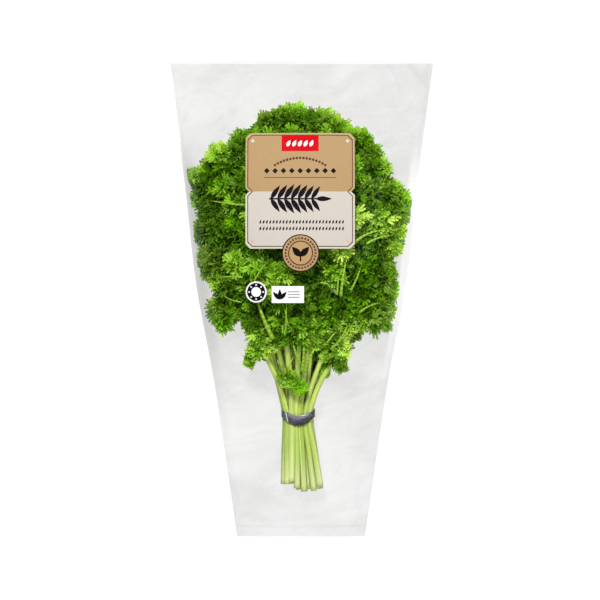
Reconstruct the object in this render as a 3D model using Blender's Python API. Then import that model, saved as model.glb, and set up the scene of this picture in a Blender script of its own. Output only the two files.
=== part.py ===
"""A bunch of curly parsley, held by a rubber band and slipped into a clear tapered sleeve.

The bunch lies on its back: +Z is up, the leafy head points to +Y and the cut ends to -Y.
The origin is on the surface it lies on, under the middle of the sleeve. Lengths are in metres.
"""

import math

import bmesh
import bpy
import numpy as np
from mathutils import Vector, noise

# Sleeve: a flat film bag, open at both ends, wide at the mouth and narrow at the foot.
SLEEVE_LENGTH = 0.340
MOUTH_WIDTH = 0.190
FOOT_WIDTH = 0.092
BULGE = 0.0026  # how far each side bows out round the leaves
BULGE_Y = 0.012
BULGE_REACH = 0.050
FILM = 0.0004  # thickness of the film stand-in
SEAM_GAP = 0.0005  # between the two films along their welded edges

# Sections along the sleeve: y, height of the crest, height of the side welds, roundness of the sides.
SECTIONS = (
    (-0.170, 0.0125, 0.0020, 0.0),
    (-0.135, 0.0180, 0.0025, 0.1),
    (-0.084, 0.0215, 0.0035, 0.2),
    (-0.040, 0.0430, 0.0100, 0.6),
    (0.010, 0.0600, 0.0190, 1.0),
    (0.060, 0.0640, 0.0220, 1.0),
    (0.110, 0.0560, 0.0180, 0.9),
    (0.145, 0.0380, 0.0100, 0.5),
    (0.170, 0.0260, 0.0050, 0.2),
)
FILM_COLUMNS = 20
FILM_ROWS = 24
FLAT_SHARE = 0.42  # share of the half width over which the back film lies flat

# Stems: four layers of stems through the band, from the front layer down.
STEM_RADIUS = 0.0015
STEM_TIP_RADIUS = 0.0010
STEM_PITCH = 2 * STEM_RADIUS + 0.00015
BUNDLE_X = -0.0020  # the middle of the bundle in the band
LAYER_COUNTS = (6, 7, 6, 6)
LOWEST_STEM_Z = 0.0042
BAND_Y = -0.084
CUT_Y = -0.1350
CUT_STEP = 0.0050  # how much shorter the stems on the left are cut
CUT_RAGGED = 0.0022
CUT_SPREAD = 0.46  # how much wider the bundle is at its cut ends than in the band
CUT_LEAN = 0.0028  # how far its cut ends lean to the right
MIDDLE_Z = 0.0310  # height of the stems' middle plane inside the head
FAN_LENGTH = 0.075  # from the band to where the stems have reached that plane
FAN_CURVE = 1.5
LAYER_PITCH = 0.0039
STEM_STEP = 0.019  # along y, between a stem's points above the band

# Rubber band.
BAND_WIDTH = 0.0066
BAND_THICKNESS = 0.0011
BAND_SQUARENESS = 6.0
BAND_EASE = 0.0008  # between the band and the stems that lean out through it
BAND_POINTS = 36

# Head: where the leaf heads stand, x and y, in front of the stems and behind them.
FRONT_LEAVES = (
    (-0.016, 0.119), (0.015, 0.121),
    (-0.061, 0.090), (-0.023, 0.083), (0.025, 0.085), (0.061, 0.084),
    (-0.063, 0.044), (-0.021, 0.043), (0.021, 0.047), (0.062, 0.042),
    (-0.050, -0.003), (0.000, 0.006), (0.054, -0.003),
)
BACK_LEAVES = (
    (0.000, 0.124), (-0.040, 0.104), (0.041, 0.105),
    (-0.066, 0.064), (-0.022, 0.068), (0.023, 0.066), (0.067, 0.066),
    (-0.055, 0.014), (-0.019, 0.026), (0.025, 0.023), (0.058, 0.014), (0.002, -0.014),
)
FRONT_Z = 0.0455
UNDER_FILM = 0.0140  # least depth of a front leaf head's middle under the front film
BACK_Z = 0.0150
SPRIGS = (
    ("sprig_left", (-0.0360, -0.0350, 0.0230), 0.014),
    ("sprig_right", (0.0320, -0.0360, 0.0240), 0.014),
    ("sprig_front", (-0.0066, -0.0600, 0.0262), 0.011),
)
LEAF_REACH = 0.034  # the furthest that a leaf head grows from its middle
LEAF_FOOT = 0.017  # from a leaf head's middle back to the end of its stem
LEAF_DEPTH = 0.13  # depth of its lumps, as a share of its radius
LUMP_SIZE = 0.55  # width of a lump, as a share of its radius
CROWN_CENTRE_Y = 0.055
CROWN_RADII = (0.088, 0.088)
NECK = (0.0, -0.062, 0.0150)
FILM_CLEARANCE = 0.0024  # between a leaf head and the film
LEVEL_WALL = 0.0070  # a near stem at least this far above or below a leaf head cuts it level
LEVEL_REACH = 0.0150  # how near such a stem passes, seen from above
LEAF_GAP = 0.0004  # between a leaf head and its neighbours


def clear_scene():
    """Removes whatever objects the file opened with."""
    for item in list(bpy.data.objects):
        bpy.data.objects.remove(item, do_unlink=True)


def material(name, colour, roughness, alpha=1.0):
    """A plain Principled material."""
    made = bpy.data.materials.new(name)
    made.use_nodes = True
    shader = made.node_tree.nodes["Principled BSDF"]
    shader.inputs["Base Color"].default_value = (*colour, 1.0)
    shader.inputs["Roughness"].default_value = roughness
    shader.inputs["Metallic"].default_value = 0.0
    shader.inputs["Alpha"].default_value = alpha
    return made


def add_object(name, data, finish):
    """Puts a mesh or a curve in the scene as a named object with its own material."""
    made = bpy.data.objects.new(name, data)
    bpy.context.collection.objects.link(made)
    data.materials.append(finish)
    return made


def mesh_from(name, form):
    """Turns a bmesh into a smooth-shaded mesh."""
    bmesh.ops.recalc_face_normals(form, faces=form.faces)
    data = bpy.data.meshes.new(name)
    form.to_mesh(data)
    form.free()
    data.shade_smooth()
    return data


# --- The sleeve's shape -------------------------------------------------------------------------


def half_width(y):
    """Half the sleeve's width at y."""
    share = (y + SLEEVE_LENGTH / 2) / SLEEVE_LENGTH
    bulge = BULGE * math.exp(-(((y - BULGE_Y) / BULGE_REACH) ** 2))
    return (FOOT_WIDTH + (MOUTH_WIDTH - FOOT_WIDTH) * share) / 2 + bulge


def section(y):
    """Crest height, weld height and roundness at y, on a smooth curve through SECTIONS."""
    rows = np.array(SECTIONS)
    at = min(max(y, rows[0, 0]), rows[-1, 0])
    i = min(int(np.searchsorted(rows[:, 0], at, side="right")) - 1, len(rows) - 2)
    slopes = np.gradient(rows[:, 1:], rows[:, 0], axis=0)
    span = rows[i + 1, 0] - rows[i, 0]
    t = (at - rows[i, 0]) / span
    start = (2 * t**3 - 3 * t**2 + 1) * rows[i, 1:] + (t**3 - 2 * t**2 + t) * span * slopes[i]
    end = (3 * t**2 - 2 * t**3) * rows[i + 1, 1:] + (t**3 - t**2) * span * slopes[i + 1]
    return start + end


def front_height(x, y):
    """Height of the front film's inner side."""
    crest, weld, roundness = section(y)
    across = min(abs(x) / half_width(y), 1.0)
    rise = (1 - across ** (2 + 0.4 * roundness)) ** (1 / (1 + 1.2 * roundness))
    return weld + SEAM_GAP + (crest - weld - SEAM_GAP) * rise


def back_height(x, y):
    """Height of the back film's outer side: flat in the middle, curling up to the welds."""
    weld, roundness = section(y)[1:]
    across = min(abs(x) / half_width(y), 1.0)
    past = max(0.0, (across - FLAT_SHARE) / (1 - FLAT_SHARE))
    return (weld - FILM - SEAM_GAP) * (1 - (1 - past**2.2) ** (1 / (1 + roundness)))


def film(name, height, finish):
    """One film of the sleeve: a grid on its height function, thickened upwards from there."""
    form = bmesh.new()
    grid = []
    for row in range(FILM_ROWS + 1):
        y = -SLEEVE_LENGTH / 2 + SLEEVE_LENGTH * row / FILM_ROWS
        line = []
        for column in range(FILM_COLUMNS + 1):
            turn = math.pi * (column / FILM_COLUMNS - 0.5)
            x = half_width(y) * math.sin(turn)
            line.append(form.verts.new((x, y, height(x, y))))
        grid.append(line)
    for near, far in zip(grid, grid[1:]):
        for left in range(FILM_COLUMNS):
            form.faces.new((near[left], near[left + 1], far[left + 1], far[left]))
    data = bpy.data.meshes.new(name)
    form.to_mesh(data)
    form.free()
    made = add_object(name, data, finish)
    wall = made.modifiers.new("thickness", "SOLIDIFY")
    wall.thickness = FILM
    wall.offset = 1.0
    return made


# --- The stems ----------------------------------------------------------------------------------


def bundle_slots():
    """Where each stem crosses the band: layers from the front down, each from left to right."""
    slots = []
    for layer, count in enumerate(LAYER_COUNTS):
        z = LOWEST_STEM_Z + (len(LAYER_COUNTS) - 1 - layer) * STEM_PITCH
        slots.append([(BUNDLE_X + (i - (count - 1) / 2) * STEM_PITCH, z) for i in range(count)])
    return slots


def stem_foot(middle):
    """The point at the near side of a leaf head where its stem ends."""
    towards_neck = (Vector(NECK) - middle).normalized()
    return middle + towards_neck * LEAF_FOOT


def leaf_places():
    """The middle of each leaf head by layer: near and far front leaves, far and near back leaves."""
    front = [
        Vector((x, y, min(FRONT_Z, front_height(x, y) - UNDER_FILM))) for x, y in FRONT_LEAVES
    ]
    back = [Vector((x, y, BACK_Z)) for x, y in BACK_LEAVES]
    neck = Vector((NECK[0], NECK[1], 0))
    layers = []
    for leaves, first_count, far_first in ((front, LAYER_COUNTS[0], False), (back, LAYER_COUNTS[2], True)):
        ordered = sorted(leaves, key=lambda p: (p.xy - neck.xy).length, reverse=far_first)
        layers.append(ordered[:first_count])
        layers.append(ordered[first_count:])
    return [sorted(layer, key=lambda p: math.atan2(p.x, p.y - NECK[1])) for layer in layers]


def stem_path(slot, foot, layer, rng):
    """A stem's points, from its cut end through the band to its leaf head."""
    slot_x, slot_z = slot
    points = []
    cut_y = CUT_Y + CUT_RAGGED * rng.uniform(-1, 1)
    if slot_x < BUNDLE_X - 0.6 * STEM_PITCH:
        cut_y += CUT_STEP
    for t in (1.0, 0.45):
        points.append(Vector((
            slot_x + ((slot_x - BUNDLE_X) * CUT_SPREAD + CUT_LEAN) * t,
            BAND_Y + (cut_y - BAND_Y) * t,
            slot_z - 0.0010 * t,
        )))
    layer_z = MIDDLE_Z + (len(LAYER_COUNTS) / 2 - 0.5 - layer) * LAYER_PITCH
    stations = [BAND_Y]
    while foot.y - stations[-1] > 1.5 * STEM_STEP:
        stations.append(stations[-1] + STEM_STEP)
    for y in stations + [foot.y]:
        s = (y - BAND_Y) / (foot.y - BAND_Y)
        lift = min(1.0, (y - BAND_Y) / FAN_LENGTH)
        lift = lift * lift * (3 - 2 * lift)
        level = slot_z + (layer_z - slot_z) * lift
        points.append(Vector((
            slot_x + (foot.x - slot_x) * s**FAN_CURVE,
            y,
            level + (foot.z - level) * s**5,
        )))
    return points


def stem(name, points, finish):
    """A tapering round stem along its points."""
    curve = bpy.data.curves.new(name, "CURVE")
    curve.dimensions = "3D"
    curve.bevel_depth = STEM_RADIUS
    curve.bevel_resolution = 1
    curve.use_fill_caps = True
    curve.resolution_u = 1
    curve.render_resolution_u = 0
    line = curve.splines.new("POLY")
    line.points.add(len(points) - 1)
    for i, (target, point) in enumerate(zip(line.points, points)):
        share = i / (len(points) - 1)
        target.co = (*point, 1.0)
        target.radius = 1 + (STEM_TIP_RADIUS / STEM_RADIUS - 1) * share**2
    line.use_smooth = True
    return add_object(name, curve, finish)


# --- The leaf heads -----------------------------------------------------------------------------


def inside_head(point):
    """Whether a point lies inside the sleeve's clearance and the crown's outline."""
    x, y, z = point
    width = half_width(y)
    widened = abs(x) * width / (width - FILM_CLEARANCE)
    if widened >= width:
        return False
    if y > CROWN_CENTRE_Y:
        radius_x, radius_y = CROWN_RADII
        if (x / radius_x) ** 2 + ((y - CROWN_CENTRE_Y) / radius_y) ** 2 > 1:
            return False
    low = back_height(widened, y) + FILM + FILM_CLEARANCE / 2
    high = front_height(widened, y) - FILM_CLEARANCE
    return low < z < high


def walls_round(middle, own_path, other_middles, other_paths):
    """The planes that keep a leaf head off its neighbours and off every stem.

    Each plane is a direction and how far the leaf head may reach in that direction.
    """
    walls = []
    for other in other_middles:
        apart = other - middle
        walls.append((apart.normalized(), apart.length / 2 - LEAF_GAP / 2))
    clearance = STEM_RADIUS + LEAF_GAP
    for path in [own_path] + other_paths:
        for start, end in zip(path, path[1:]):
            run = end - start
            share = (middle - start).dot(run) / run.length_squared
            nearest = start + run * min(1.0, max(0.0, share))
            away = nearest - middle
            below = middle.z - max(start.z, end.z) - clearance
            above = min(start.z, end.z) - middle.z - clearance
            if away.xy.length > LEVEL_REACH:
                walls.append((away.normalized(), away.length - clearance))
            elif below > LEVEL_WALL:
                walls.append((Vector((0, 0, -1)), below))
            elif above > LEVEL_WALL:
                walls.append((Vector((0, 0, 1)), above))
            else:
                walls.append((away.normalized(), away.length - clearance))
    return walls


def leaf_head(name, middle, walls, reach, number, finish):
    """A lumpy closed leaf head that fills its place between its walls."""
    form = bmesh.new()
    bmesh.ops.create_icosphere(form, subdivisions=2, radius=1.0)
    normals = np.array([tuple(direction) for direction, _ in walls])
    reaches = np.array([distance for _, distance in walls])
    for vert in form.verts:
        direction = vert.co.normalized()
        facing = normals @ np.array(direction)
        facing = np.maximum(facing, 1e-6)
        limit = min(reach, float((reaches / facing).min()))
        low, high = 0.0, limit
        if not inside_head(middle + direction * high):
            for _ in range(20):
                half = (low + high) / 2
                if inside_head(middle + direction * half):
                    low = half
                else:
                    high = half
        else:
            low = high
        lump = noise.noise(direction / LUMP_SIZE + Vector((number * 7.3, 0, 0)))
        vert.co = middle + direction * low * (1 - LEAF_DEPTH * (0.5 + 0.5 * lump))
    return add_object(name, mesh_from(name, form), finish)


# --- The rubber band ----------------------------------------------------------------------------


def rubber_band(finish):
    """A flat band stretched round the bundle, a rounded oblong in section."""
    widest = max(LAYER_COUNTS)
    inner_x = (widest - 1) / 2 * STEM_PITCH + STEM_RADIUS + BAND_EASE
    inner_z = (len(LAYER_COUNTS) - 1) / 2 * STEM_PITCH + STEM_RADIUS + BAND_EASE
    centre_z = LOWEST_STEM_Z + (len(LAYER_COUNTS) - 1) / 2 * STEM_PITCH
    form = bmesh.new()
    near, far = [], []
    for i in range(BAND_POINTS):
        turn = 2 * math.pi * i / BAND_POINTS
        across, up = math.cos(turn), math.sin(turn)
        x = BUNDLE_X + inner_x * math.copysign(abs(across) ** (2 / BAND_SQUARENESS), across)
        z = centre_z + inner_z * math.copysign(abs(up) ** (2 / BAND_SQUARENESS), up)
        near.append(form.verts.new((x, BAND_Y - BAND_WIDTH / 2, z)))
        far.append(form.verts.new((x, BAND_Y + BAND_WIDTH / 2, z)))
    for i in range(BAND_POINTS):
        following = (i + 1) % BAND_POINTS
        form.faces.new((near[i], near[following], far[following], far[i]))
    made = add_object("rubber_band", mesh_from("rubber_band", form), finish)
    wall = made.modifiers.new("thickness", "SOLIDIFY")
    wall.thickness = BAND_THICKNESS
    wall.offset = 1.0
    return made


def build():
    """Builds the whole bunch in its sleeve."""
    clear_scene()
    clear_film = material("clear_film", (0.86, 0.87, 0.87), 0.18, alpha=0.2)
    film("sleeve_front_film", front_height, clear_film)
    film("sleeve_back_film", back_height, clear_film.copy())

    rng = np.random.default_rng(11)
    slots = bundle_slots()
    middles, paths = [], []
    for layer, leaves in enumerate(leaf_places()):
        for slot, middle in zip(slots[layer], leaves):
            middles.append(middle)
            paths.append(stem_path(slot, stem_foot(middle), layer, rng))

    for number, path in enumerate(paths, start=1):
        green = material(f"stem_{number:02d}", (0.46, 0.60, 0.22), 0.45)
        stem(f"stem_{number:02d}", path, green)

    sprig_middles = [Vector(place) for _, place, _ in SPRIGS]
    everyone = middles + sprig_middles
    for number, (middle, path) in enumerate(zip(middles, paths), start=1):
        others = [m for m in everyone if m is not middle]
        other_paths = [p for p in paths if p is not path]
        walls = walls_round(middle, path, others, other_paths)
        green = material(f"leaf_{number:02d}", (0.13, 0.33, 0.03), 0.55)
        leaf_head(f"leaf_{number:02d}", middle, walls, LEAF_REACH, number, green)
    for number, ((name, _, reach), middle) in enumerate(zip(SPRIGS, sprig_middles), start=40):
        others = [m for m in everyone if m is not middle]
        walls = walls_round(middle, paths[0], others, paths[1:])
        green = material(name, (0.16, 0.38, 0.04), 0.55)
        leaf_head(name, middle, walls, reach, number, green)

    rubber_band(material("rubber_band", (0.07, 0.06, 0.09), 0.6))


build()
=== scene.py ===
"""A bunch of curly parsley in a rubber band, slipped into a clear printed sleeve.

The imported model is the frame: the bunch lies on its back, +Z is up, the leafy head points to +Y
and the cut ends to -Y. Lengths are in metres, except in the head's tables.
"""

import logging
import math
from collections.abc import Callable
from dataclasses import dataclass, field, replace
from enum import Enum

import bmesh
import bpy
import numpy as np
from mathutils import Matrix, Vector, noise


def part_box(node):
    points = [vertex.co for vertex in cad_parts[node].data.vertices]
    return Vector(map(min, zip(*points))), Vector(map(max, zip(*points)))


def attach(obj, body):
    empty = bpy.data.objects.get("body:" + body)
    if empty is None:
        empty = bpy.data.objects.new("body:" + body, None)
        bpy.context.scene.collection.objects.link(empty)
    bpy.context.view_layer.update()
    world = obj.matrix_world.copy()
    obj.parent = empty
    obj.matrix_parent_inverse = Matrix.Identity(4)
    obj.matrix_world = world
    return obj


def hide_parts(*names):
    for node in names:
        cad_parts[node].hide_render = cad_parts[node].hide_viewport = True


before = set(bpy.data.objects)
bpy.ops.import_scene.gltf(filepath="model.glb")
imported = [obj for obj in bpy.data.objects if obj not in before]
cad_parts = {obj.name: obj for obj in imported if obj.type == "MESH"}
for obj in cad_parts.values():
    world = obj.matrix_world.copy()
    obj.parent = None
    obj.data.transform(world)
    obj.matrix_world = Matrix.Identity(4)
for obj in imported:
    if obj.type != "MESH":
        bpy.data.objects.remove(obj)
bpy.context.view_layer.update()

Array = np.ndarray
Colour = tuple[float, float, float]
Point = tuple[float, float, float]
Spot = tuple[float, float]
Part = bpy.types.Object
Paint = bpy.types.Material
Socket = bpy.types.NodeSocket
Edge = bmesh.types.BMEdge
Rng = np.random.Generator

# What can be selected in edit mode.
VERTS, EDGES, FACES = (True, False, False), (False, True, False), (False, False, True)

# The turn from one shoot to the next round a stalk, and the range of a random first turn.
GOLDEN_TURN, ANY_TURN = 2.39996, 6.28

# Where the random numbers of each kind of piece start.
HEAD_SEED, PLAN_SEED, LEAF_SEED, SPRIG_SEED, LEAFLET_SEED, STEM_SEED = 5, 11, 100, 300, 500, 900

log = logging.getLogger("parsley")


# --- The bench: small tools that every sub-assembly uses ---


class Bench:
    """Tools for modelling with operators and for setting finished meshes in the frame."""

    @staticmethod
    def clear_selection() -> None:
        """Deselects every object."""
        bpy.ops.object.select_all(action="DESELECT")

    @staticmethod
    def select_only(parts: list[Part]) -> None:
        """Selects parts and nothing else, and makes the first one active.

        Args:
            parts: The parts.
        """
        Bench.clear_selection()
        for part in parts:
            part.select_set(True)
        bpy.context.view_layer.objects.active = parts[0]

    @staticmethod
    def join(parts: list[Part]) -> Part:
        """Joins parts into the first one.

        Args:
            parts: The parts.

        Returns:
            The first one.
        """
        Bench.select_only(parts)
        bpy.ops.object.join()
        return parts[0]

    @staticmethod
    def put(name: str, data: bpy.types.ID) -> Part:
        """Makes an object of a mesh, a lamp or a camera, and puts it in the scene.

        Args:
            name: The object's name.
            data: The mesh, the lamp or the camera.

        Returns:
            The object.
        """
        part = bpy.data.objects.new(name, data)
        bpy.context.scene.collection.objects.link(part)
        return part

    @staticmethod
    def copy_of(part: Part) -> Part:
        """Copies a part with a mesh of its own, and puts the copy in the scene.

        Args:
            part: The part.

        Returns:
            The copy.
        """
        copy = part.copy()
        copy.data = part.data.copy()
        bpy.context.scene.collection.objects.link(copy)
        return copy

    @staticmethod
    def edit(part: Part, mode: tuple[bool, bool, bool] = EDGES, action: str = "DESELECT") -> None:
        """Opens a part in edit mode.

        Args:
            part: The object to open.
            mode: Which of vertices, edges and faces can be selected.
            action: SELECT to start with everything selected, DESELECT with nothing.
        """
        bpy.context.view_layer.objects.active = part
        bpy.ops.object.mode_set(mode="EDIT")
        bpy.context.tool_settings.mesh_select_mode = mode
        bpy.ops.mesh.select_all(action=action)

    @staticmethod
    def grid(columns: int, rows: int, middle: Spot, size: Spot) -> Part:
        """Adds a flat grid.

        Args:
            columns: How many faces it has across.
            rows: How many faces it has along.
            middle: x and y of its middle.
            size: Its width and its length.

        Returns:
            The grid, with its place and its size in its mesh.
        """
        Bench.clear_selection()
        bpy.ops.mesh.primitive_grid_add(
            x_subdivisions=columns, y_subdivisions=rows, size=1.0, location=(*middle, 0)
        )
        grid = bpy.context.object
        grid.scale = (*size, 1)
        bpy.ops.object.transform_apply(location=True, scale=True)
        return grid

    @staticmethod
    def close() -> None:
        """Goes back to object mode."""
        bpy.ops.object.mode_set(mode="OBJECT")

    @staticmethod
    def middle(edge: Edge) -> Vector:
        """The middle of an edge."""
        return (edge.verts[0].co + edge.verts[1].co) / 2

    @staticmethod
    def pick_edges(part: Part, test: Callable[[Edge], bool]) -> Vector:
        """Selects the edges that pass a test, and nothing else.

        Args:
            part: The object that is open in edit mode.
            test: Takes an edge and says whether it is picked.

        Returns:
            The middle of the picked edges.
        """
        form = bmesh.from_edit_mesh(part.data)
        picked = [edge for edge in form.edges if test(edge)]
        for edge in form.edges:
            edge.select_set(False)
        for edge in picked:
            edge.select_set(True)
        bmesh.update_edit_mesh(part.data)
        return sum((Bench.middle(edge) for edge in picked), Vector()) / max(1, len(picked))

    @staticmethod
    def points_of(part: Part) -> Array:
        """The vertices of a part as an array.

        Args:
            part: The part.

        Returns:
            The points, one row each.
        """
        points = np.empty(len(part.data.vertices) * 3)
        part.data.vertices.foreach_get("co", points)
        return points.reshape(-1, 3)

    @staticmethod
    def set_points(part: Part, points: Array) -> None:
        """Moves the vertices of a part to the rows of an array."""
        part.data.vertices.foreach_set("co", points.astype(np.float32).ravel())
        part.data.update()

    @staticmethod
    def corners_of(part: Part) -> Array:
        """The vertex number at each corner of each face of a part."""
        return np.array([loop.vertex_index for loop in part.data.loops])

    @staticmethod
    def set_map(part: Part, name: str, across: Array, along: Array) -> None:
        """Gives a part one map in place of those it has.

        Args:
            part: The part.
            name: The map's name.
            across: The map's first number at each vertex.
            along: The map's second number at each vertex.
        """
        for layer in list(part.data.uv_layers):
            part.data.uv_layers.remove(layer)
        corners = Bench.corners_of(part)
        flat = np.stack([across[corners], along[corners]], axis=1)
        layer = part.data.uv_layers.new(name=name)
        layer.uv.foreach_set("vector", flat.astype(np.float32).ravel())

    @staticmethod
    def set_in_frame(part: Part, name: str, finishes: list[Paint]) -> Part:
        """Names a finished part, gives it its finishes and lets it ride on the bunch.

        Args:
            part: The finished object, with its place in its mesh.
            name: The piece's name.
            finishes: The materials, in the order of the mesh's material numbers.

        Returns:
            The same object.
        """
        part.name = name
        part.data.name = name
        part.data.materials.clear()
        for finish in finishes:
            part.data.materials.append(finish)
        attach(part, "root")
        log.info("%s: %d faces", name, len(part.data.polygons))
        return part


@dataclass
class Pattern:
    """A small modelled shape that is set many times over.

    Attributes:
        points: The vertices, one row each.
        loops: The vertex number at each corner of each face.
        sizes: How many corners each face has.
        along: How far along the shape each vertex is, 0 at its foot and 1 at its tips.
    """

    points: Array
    loops: Array
    sizes: Array
    along: Array

    @classmethod
    def taken_from(cls, part: Part) -> "Pattern":
        """Takes the pattern off a modelled part and puts the part away.

        Args:
            part: The modelled object, growing along its own +Y.

        Returns:
            The pattern.
        """
        points = Bench.points_of(part)
        loops = Bench.corners_of(part)
        sizes = np.array([len(face.vertices) for face in part.data.polygons])
        reach = np.linalg.norm(points, axis=1)
        bpy.data.objects.remove(part, do_unlink=True)
        return cls(points, loops, sizes, reach / max(reach.max(), 1e-9))


class Heap:
    """Copies of patterns gathered into one mesh."""

    def __init__(self) -> None:
        """Starts with nothing."""
        self.points: list[Array] = []
        self.loops: list[Array] = []
        self.sizes: list[Array] = []
        self.slots: list[Array] = []
        self.tints: list[Array] = []
        self.maps: list[Array] = []
        self.count = 0

    def set_copies(
        self, pattern: Pattern, places: Array, frames: Array, tints: Array, slot: int
    ) -> None:
        """Sets copies of a pattern.

        Args:
            pattern: The shape to set.
            places: Where each copy's foot is, one row each.
            frames: For each copy, its three axes as rows, scaled.
            tints: For each copy, its tone and its youth_and_highlight.
            slot: The material number of the copies.
        """
        copies, corners = len(places), len(pattern.points)
        if not copies:
            return
        points = np.einsum("pi,nij->npj", pattern.points, frames) + places[:, None, :]
        starts = self.count + corners * np.arange(copies)
        self.points.append(points.reshape(-1, 3))
        self.loops.append((pattern.loops[None, :] + starts[:, None]).ravel())
        self.sizes.append(np.tile(pattern.sizes, copies))
        self.slots.append(np.full(copies * len(pattern.sizes), slot))
        tint = np.empty((copies, corners, 4))
        tint[:, :, 0] = tints[:, :1]
        tint[:, :, 1] = tints[:, 1:2]
        tint[:, :, 2] = pattern.along[None, :]
        tint[:, :, 3] = 1.0
        self.tints.append(tint.reshape(-1, 4))
        self.maps.append(np.tile(pattern.points[pattern.loops][:, :2], (copies, 1)))
        self.count += copies * corners

    def mesh(self, name: str, bend: Callable[[Array], Array]) -> bpy.types.Mesh:
        """Makes one mesh of all that was set.

        Args:
            name: The mesh's name.
            bend: Takes all the points and returns where they end up.

        Returns:
            The mesh, with a tint attribute and a blade map.
        """
        points = bend(np.concatenate(self.points))
        loops, sizes = np.concatenate(self.loops), np.concatenate(self.sizes)
        mesh = bpy.data.meshes.new(name)
        mesh.vertices.add(len(points))
        mesh.vertices.foreach_set("co", points.astype(np.float32).ravel())
        mesh.loops.add(len(loops))
        mesh.loops.foreach_set("vertex_index", loops.astype(np.int32))
        mesh.polygons.add(len(sizes))
        starts = np.concatenate(([0], np.cumsum(sizes)[:-1]))
        mesh.polygons.foreach_set("loop_start", starts.astype(np.int32))
        mesh.polygons.foreach_set("material_index", np.concatenate(self.slots).astype(np.int32))
        tint = mesh.color_attributes.new("tint", "FLOAT_COLOR", "POINT")
        tint.data.foreach_set("color", np.concatenate(self.tints).astype(np.float32).ravel())
        layer = mesh.uv_layers.new(name="blade")
        layer.uv.foreach_set("vector", np.concatenate(self.maps).astype(np.float32).ravel())
        mesh.update(calc_edges=True)
        mesh.validate()
        mesh.shade_smooth()
        return mesh


def unit(rows: Array) -> Array:
    """Each row at length one."""
    return rows / np.maximum(np.linalg.norm(rows, axis=-1, keepdims=True), 1e-12)


def frames_along(directions: Array, rolls: Array, widths: Array, lengths: Array) -> Array:
    """Axes for copies that grow along given directions.

    Args:
        directions: The growing direction of each copy, one row each.
        rolls: How far each copy is rolled about its direction, in radians.
        widths: The scale across each copy.
        lengths: The scale along each copy.

    Returns:
        For each copy, its x, y and z axes as rows, scaled.
    """
    y = unit(directions)
    helper = np.where(np.abs(y[:, 2:3]) < 0.9, [[0.0, 0.0, 1.0]], [[1.0, 0.0, 0.0]])
    side = unit(np.cross(y, helper))
    up = np.cross(side, y)
    turn, lean = np.cos(rolls)[:, None], np.sin(rolls)[:, None]
    x = side * turn + up * lean
    z = np.cross(x, y)
    return np.stack([x * widths[:, None], y * lengths[:, None], z * widths[:, None]], axis=1)


def spread_about(axis: Array, spare: Point, spread: Point, count: int, rng: Rng) -> Array:
    """Ways that open round an axis in a spiral, like the shoots of a dome.

    Args:
        axis: The dome's axis, at length one.
        spare: What to turn the spiral from where the axis stands nearly upright.
        spread: The outermost lean in degrees, the first step and the shake in radians.
        count: How many ways.
        rng: The leaf's own random numbers.

    Returns:
        The ways, one row each.
    """
    widest, first, shake = spread
    side = unit(np.cross(axis, (0.0, 0.0, 1.0) if abs(axis[2]) < 0.8 else spare))
    up = np.cross(side, axis)
    steps = np.arange(count)
    spins = rng.uniform(0, ANY_TURN) + GOLDEN_TURN * steps
    leans = np.radians(widest) * np.sqrt((steps + first) / count)
    leans = leans + rng.uniform(-shake, shake, count)
    flat = side * np.cos(spins)[:, None] + up * np.sin(spins)[:, None]
    return axis * np.cos(leans)[:, None] + flat * np.sin(leans)[:, None]


def smooth_through(knots: Array, rows: Array, at: Array) -> Array:
    """Values of a smooth curve through rows.

    Args:
        knots: Where along the curve each row is, rising.
        rows: The values there, one row each.
        at: Where to read the curve, from the first knot to the last.

    Returns:
        The values, one row for each place.
    """
    i = np.clip(np.searchsorted(knots, at, side="right") - 1, 0, len(knots) - 2)
    slopes = np.gradient(rows, knots, axis=0)
    span = knots[i + 1] - knots[i]
    t = ((at - knots[i]) / span)[..., None]
    span = span[..., None]
    start = (2 * t**3 - 3 * t**2 + 1) * rows[i] + (t**3 - 2 * t**2 + t) * span * slopes[i]
    end = (3 * t**2 - 2 * t**3) * rows[i + 1] + (t**3 - t**2) * span * slopes[i + 1]
    return start + end


def held_below(values: Array, limit: Array, give: float) -> Array:
    """Presses values softly below a limit.

    Args:
        values: The values.
        limit: The limit of each value.
        give: Over what distance below the limit they start to yield.

    Returns:
        The pressed values.
    """
    past = values - (limit - give)
    return np.where(past > 0, limit - give * np.exp(-np.maximum(past, 0) / give), values)


# --- Shading ---


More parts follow.
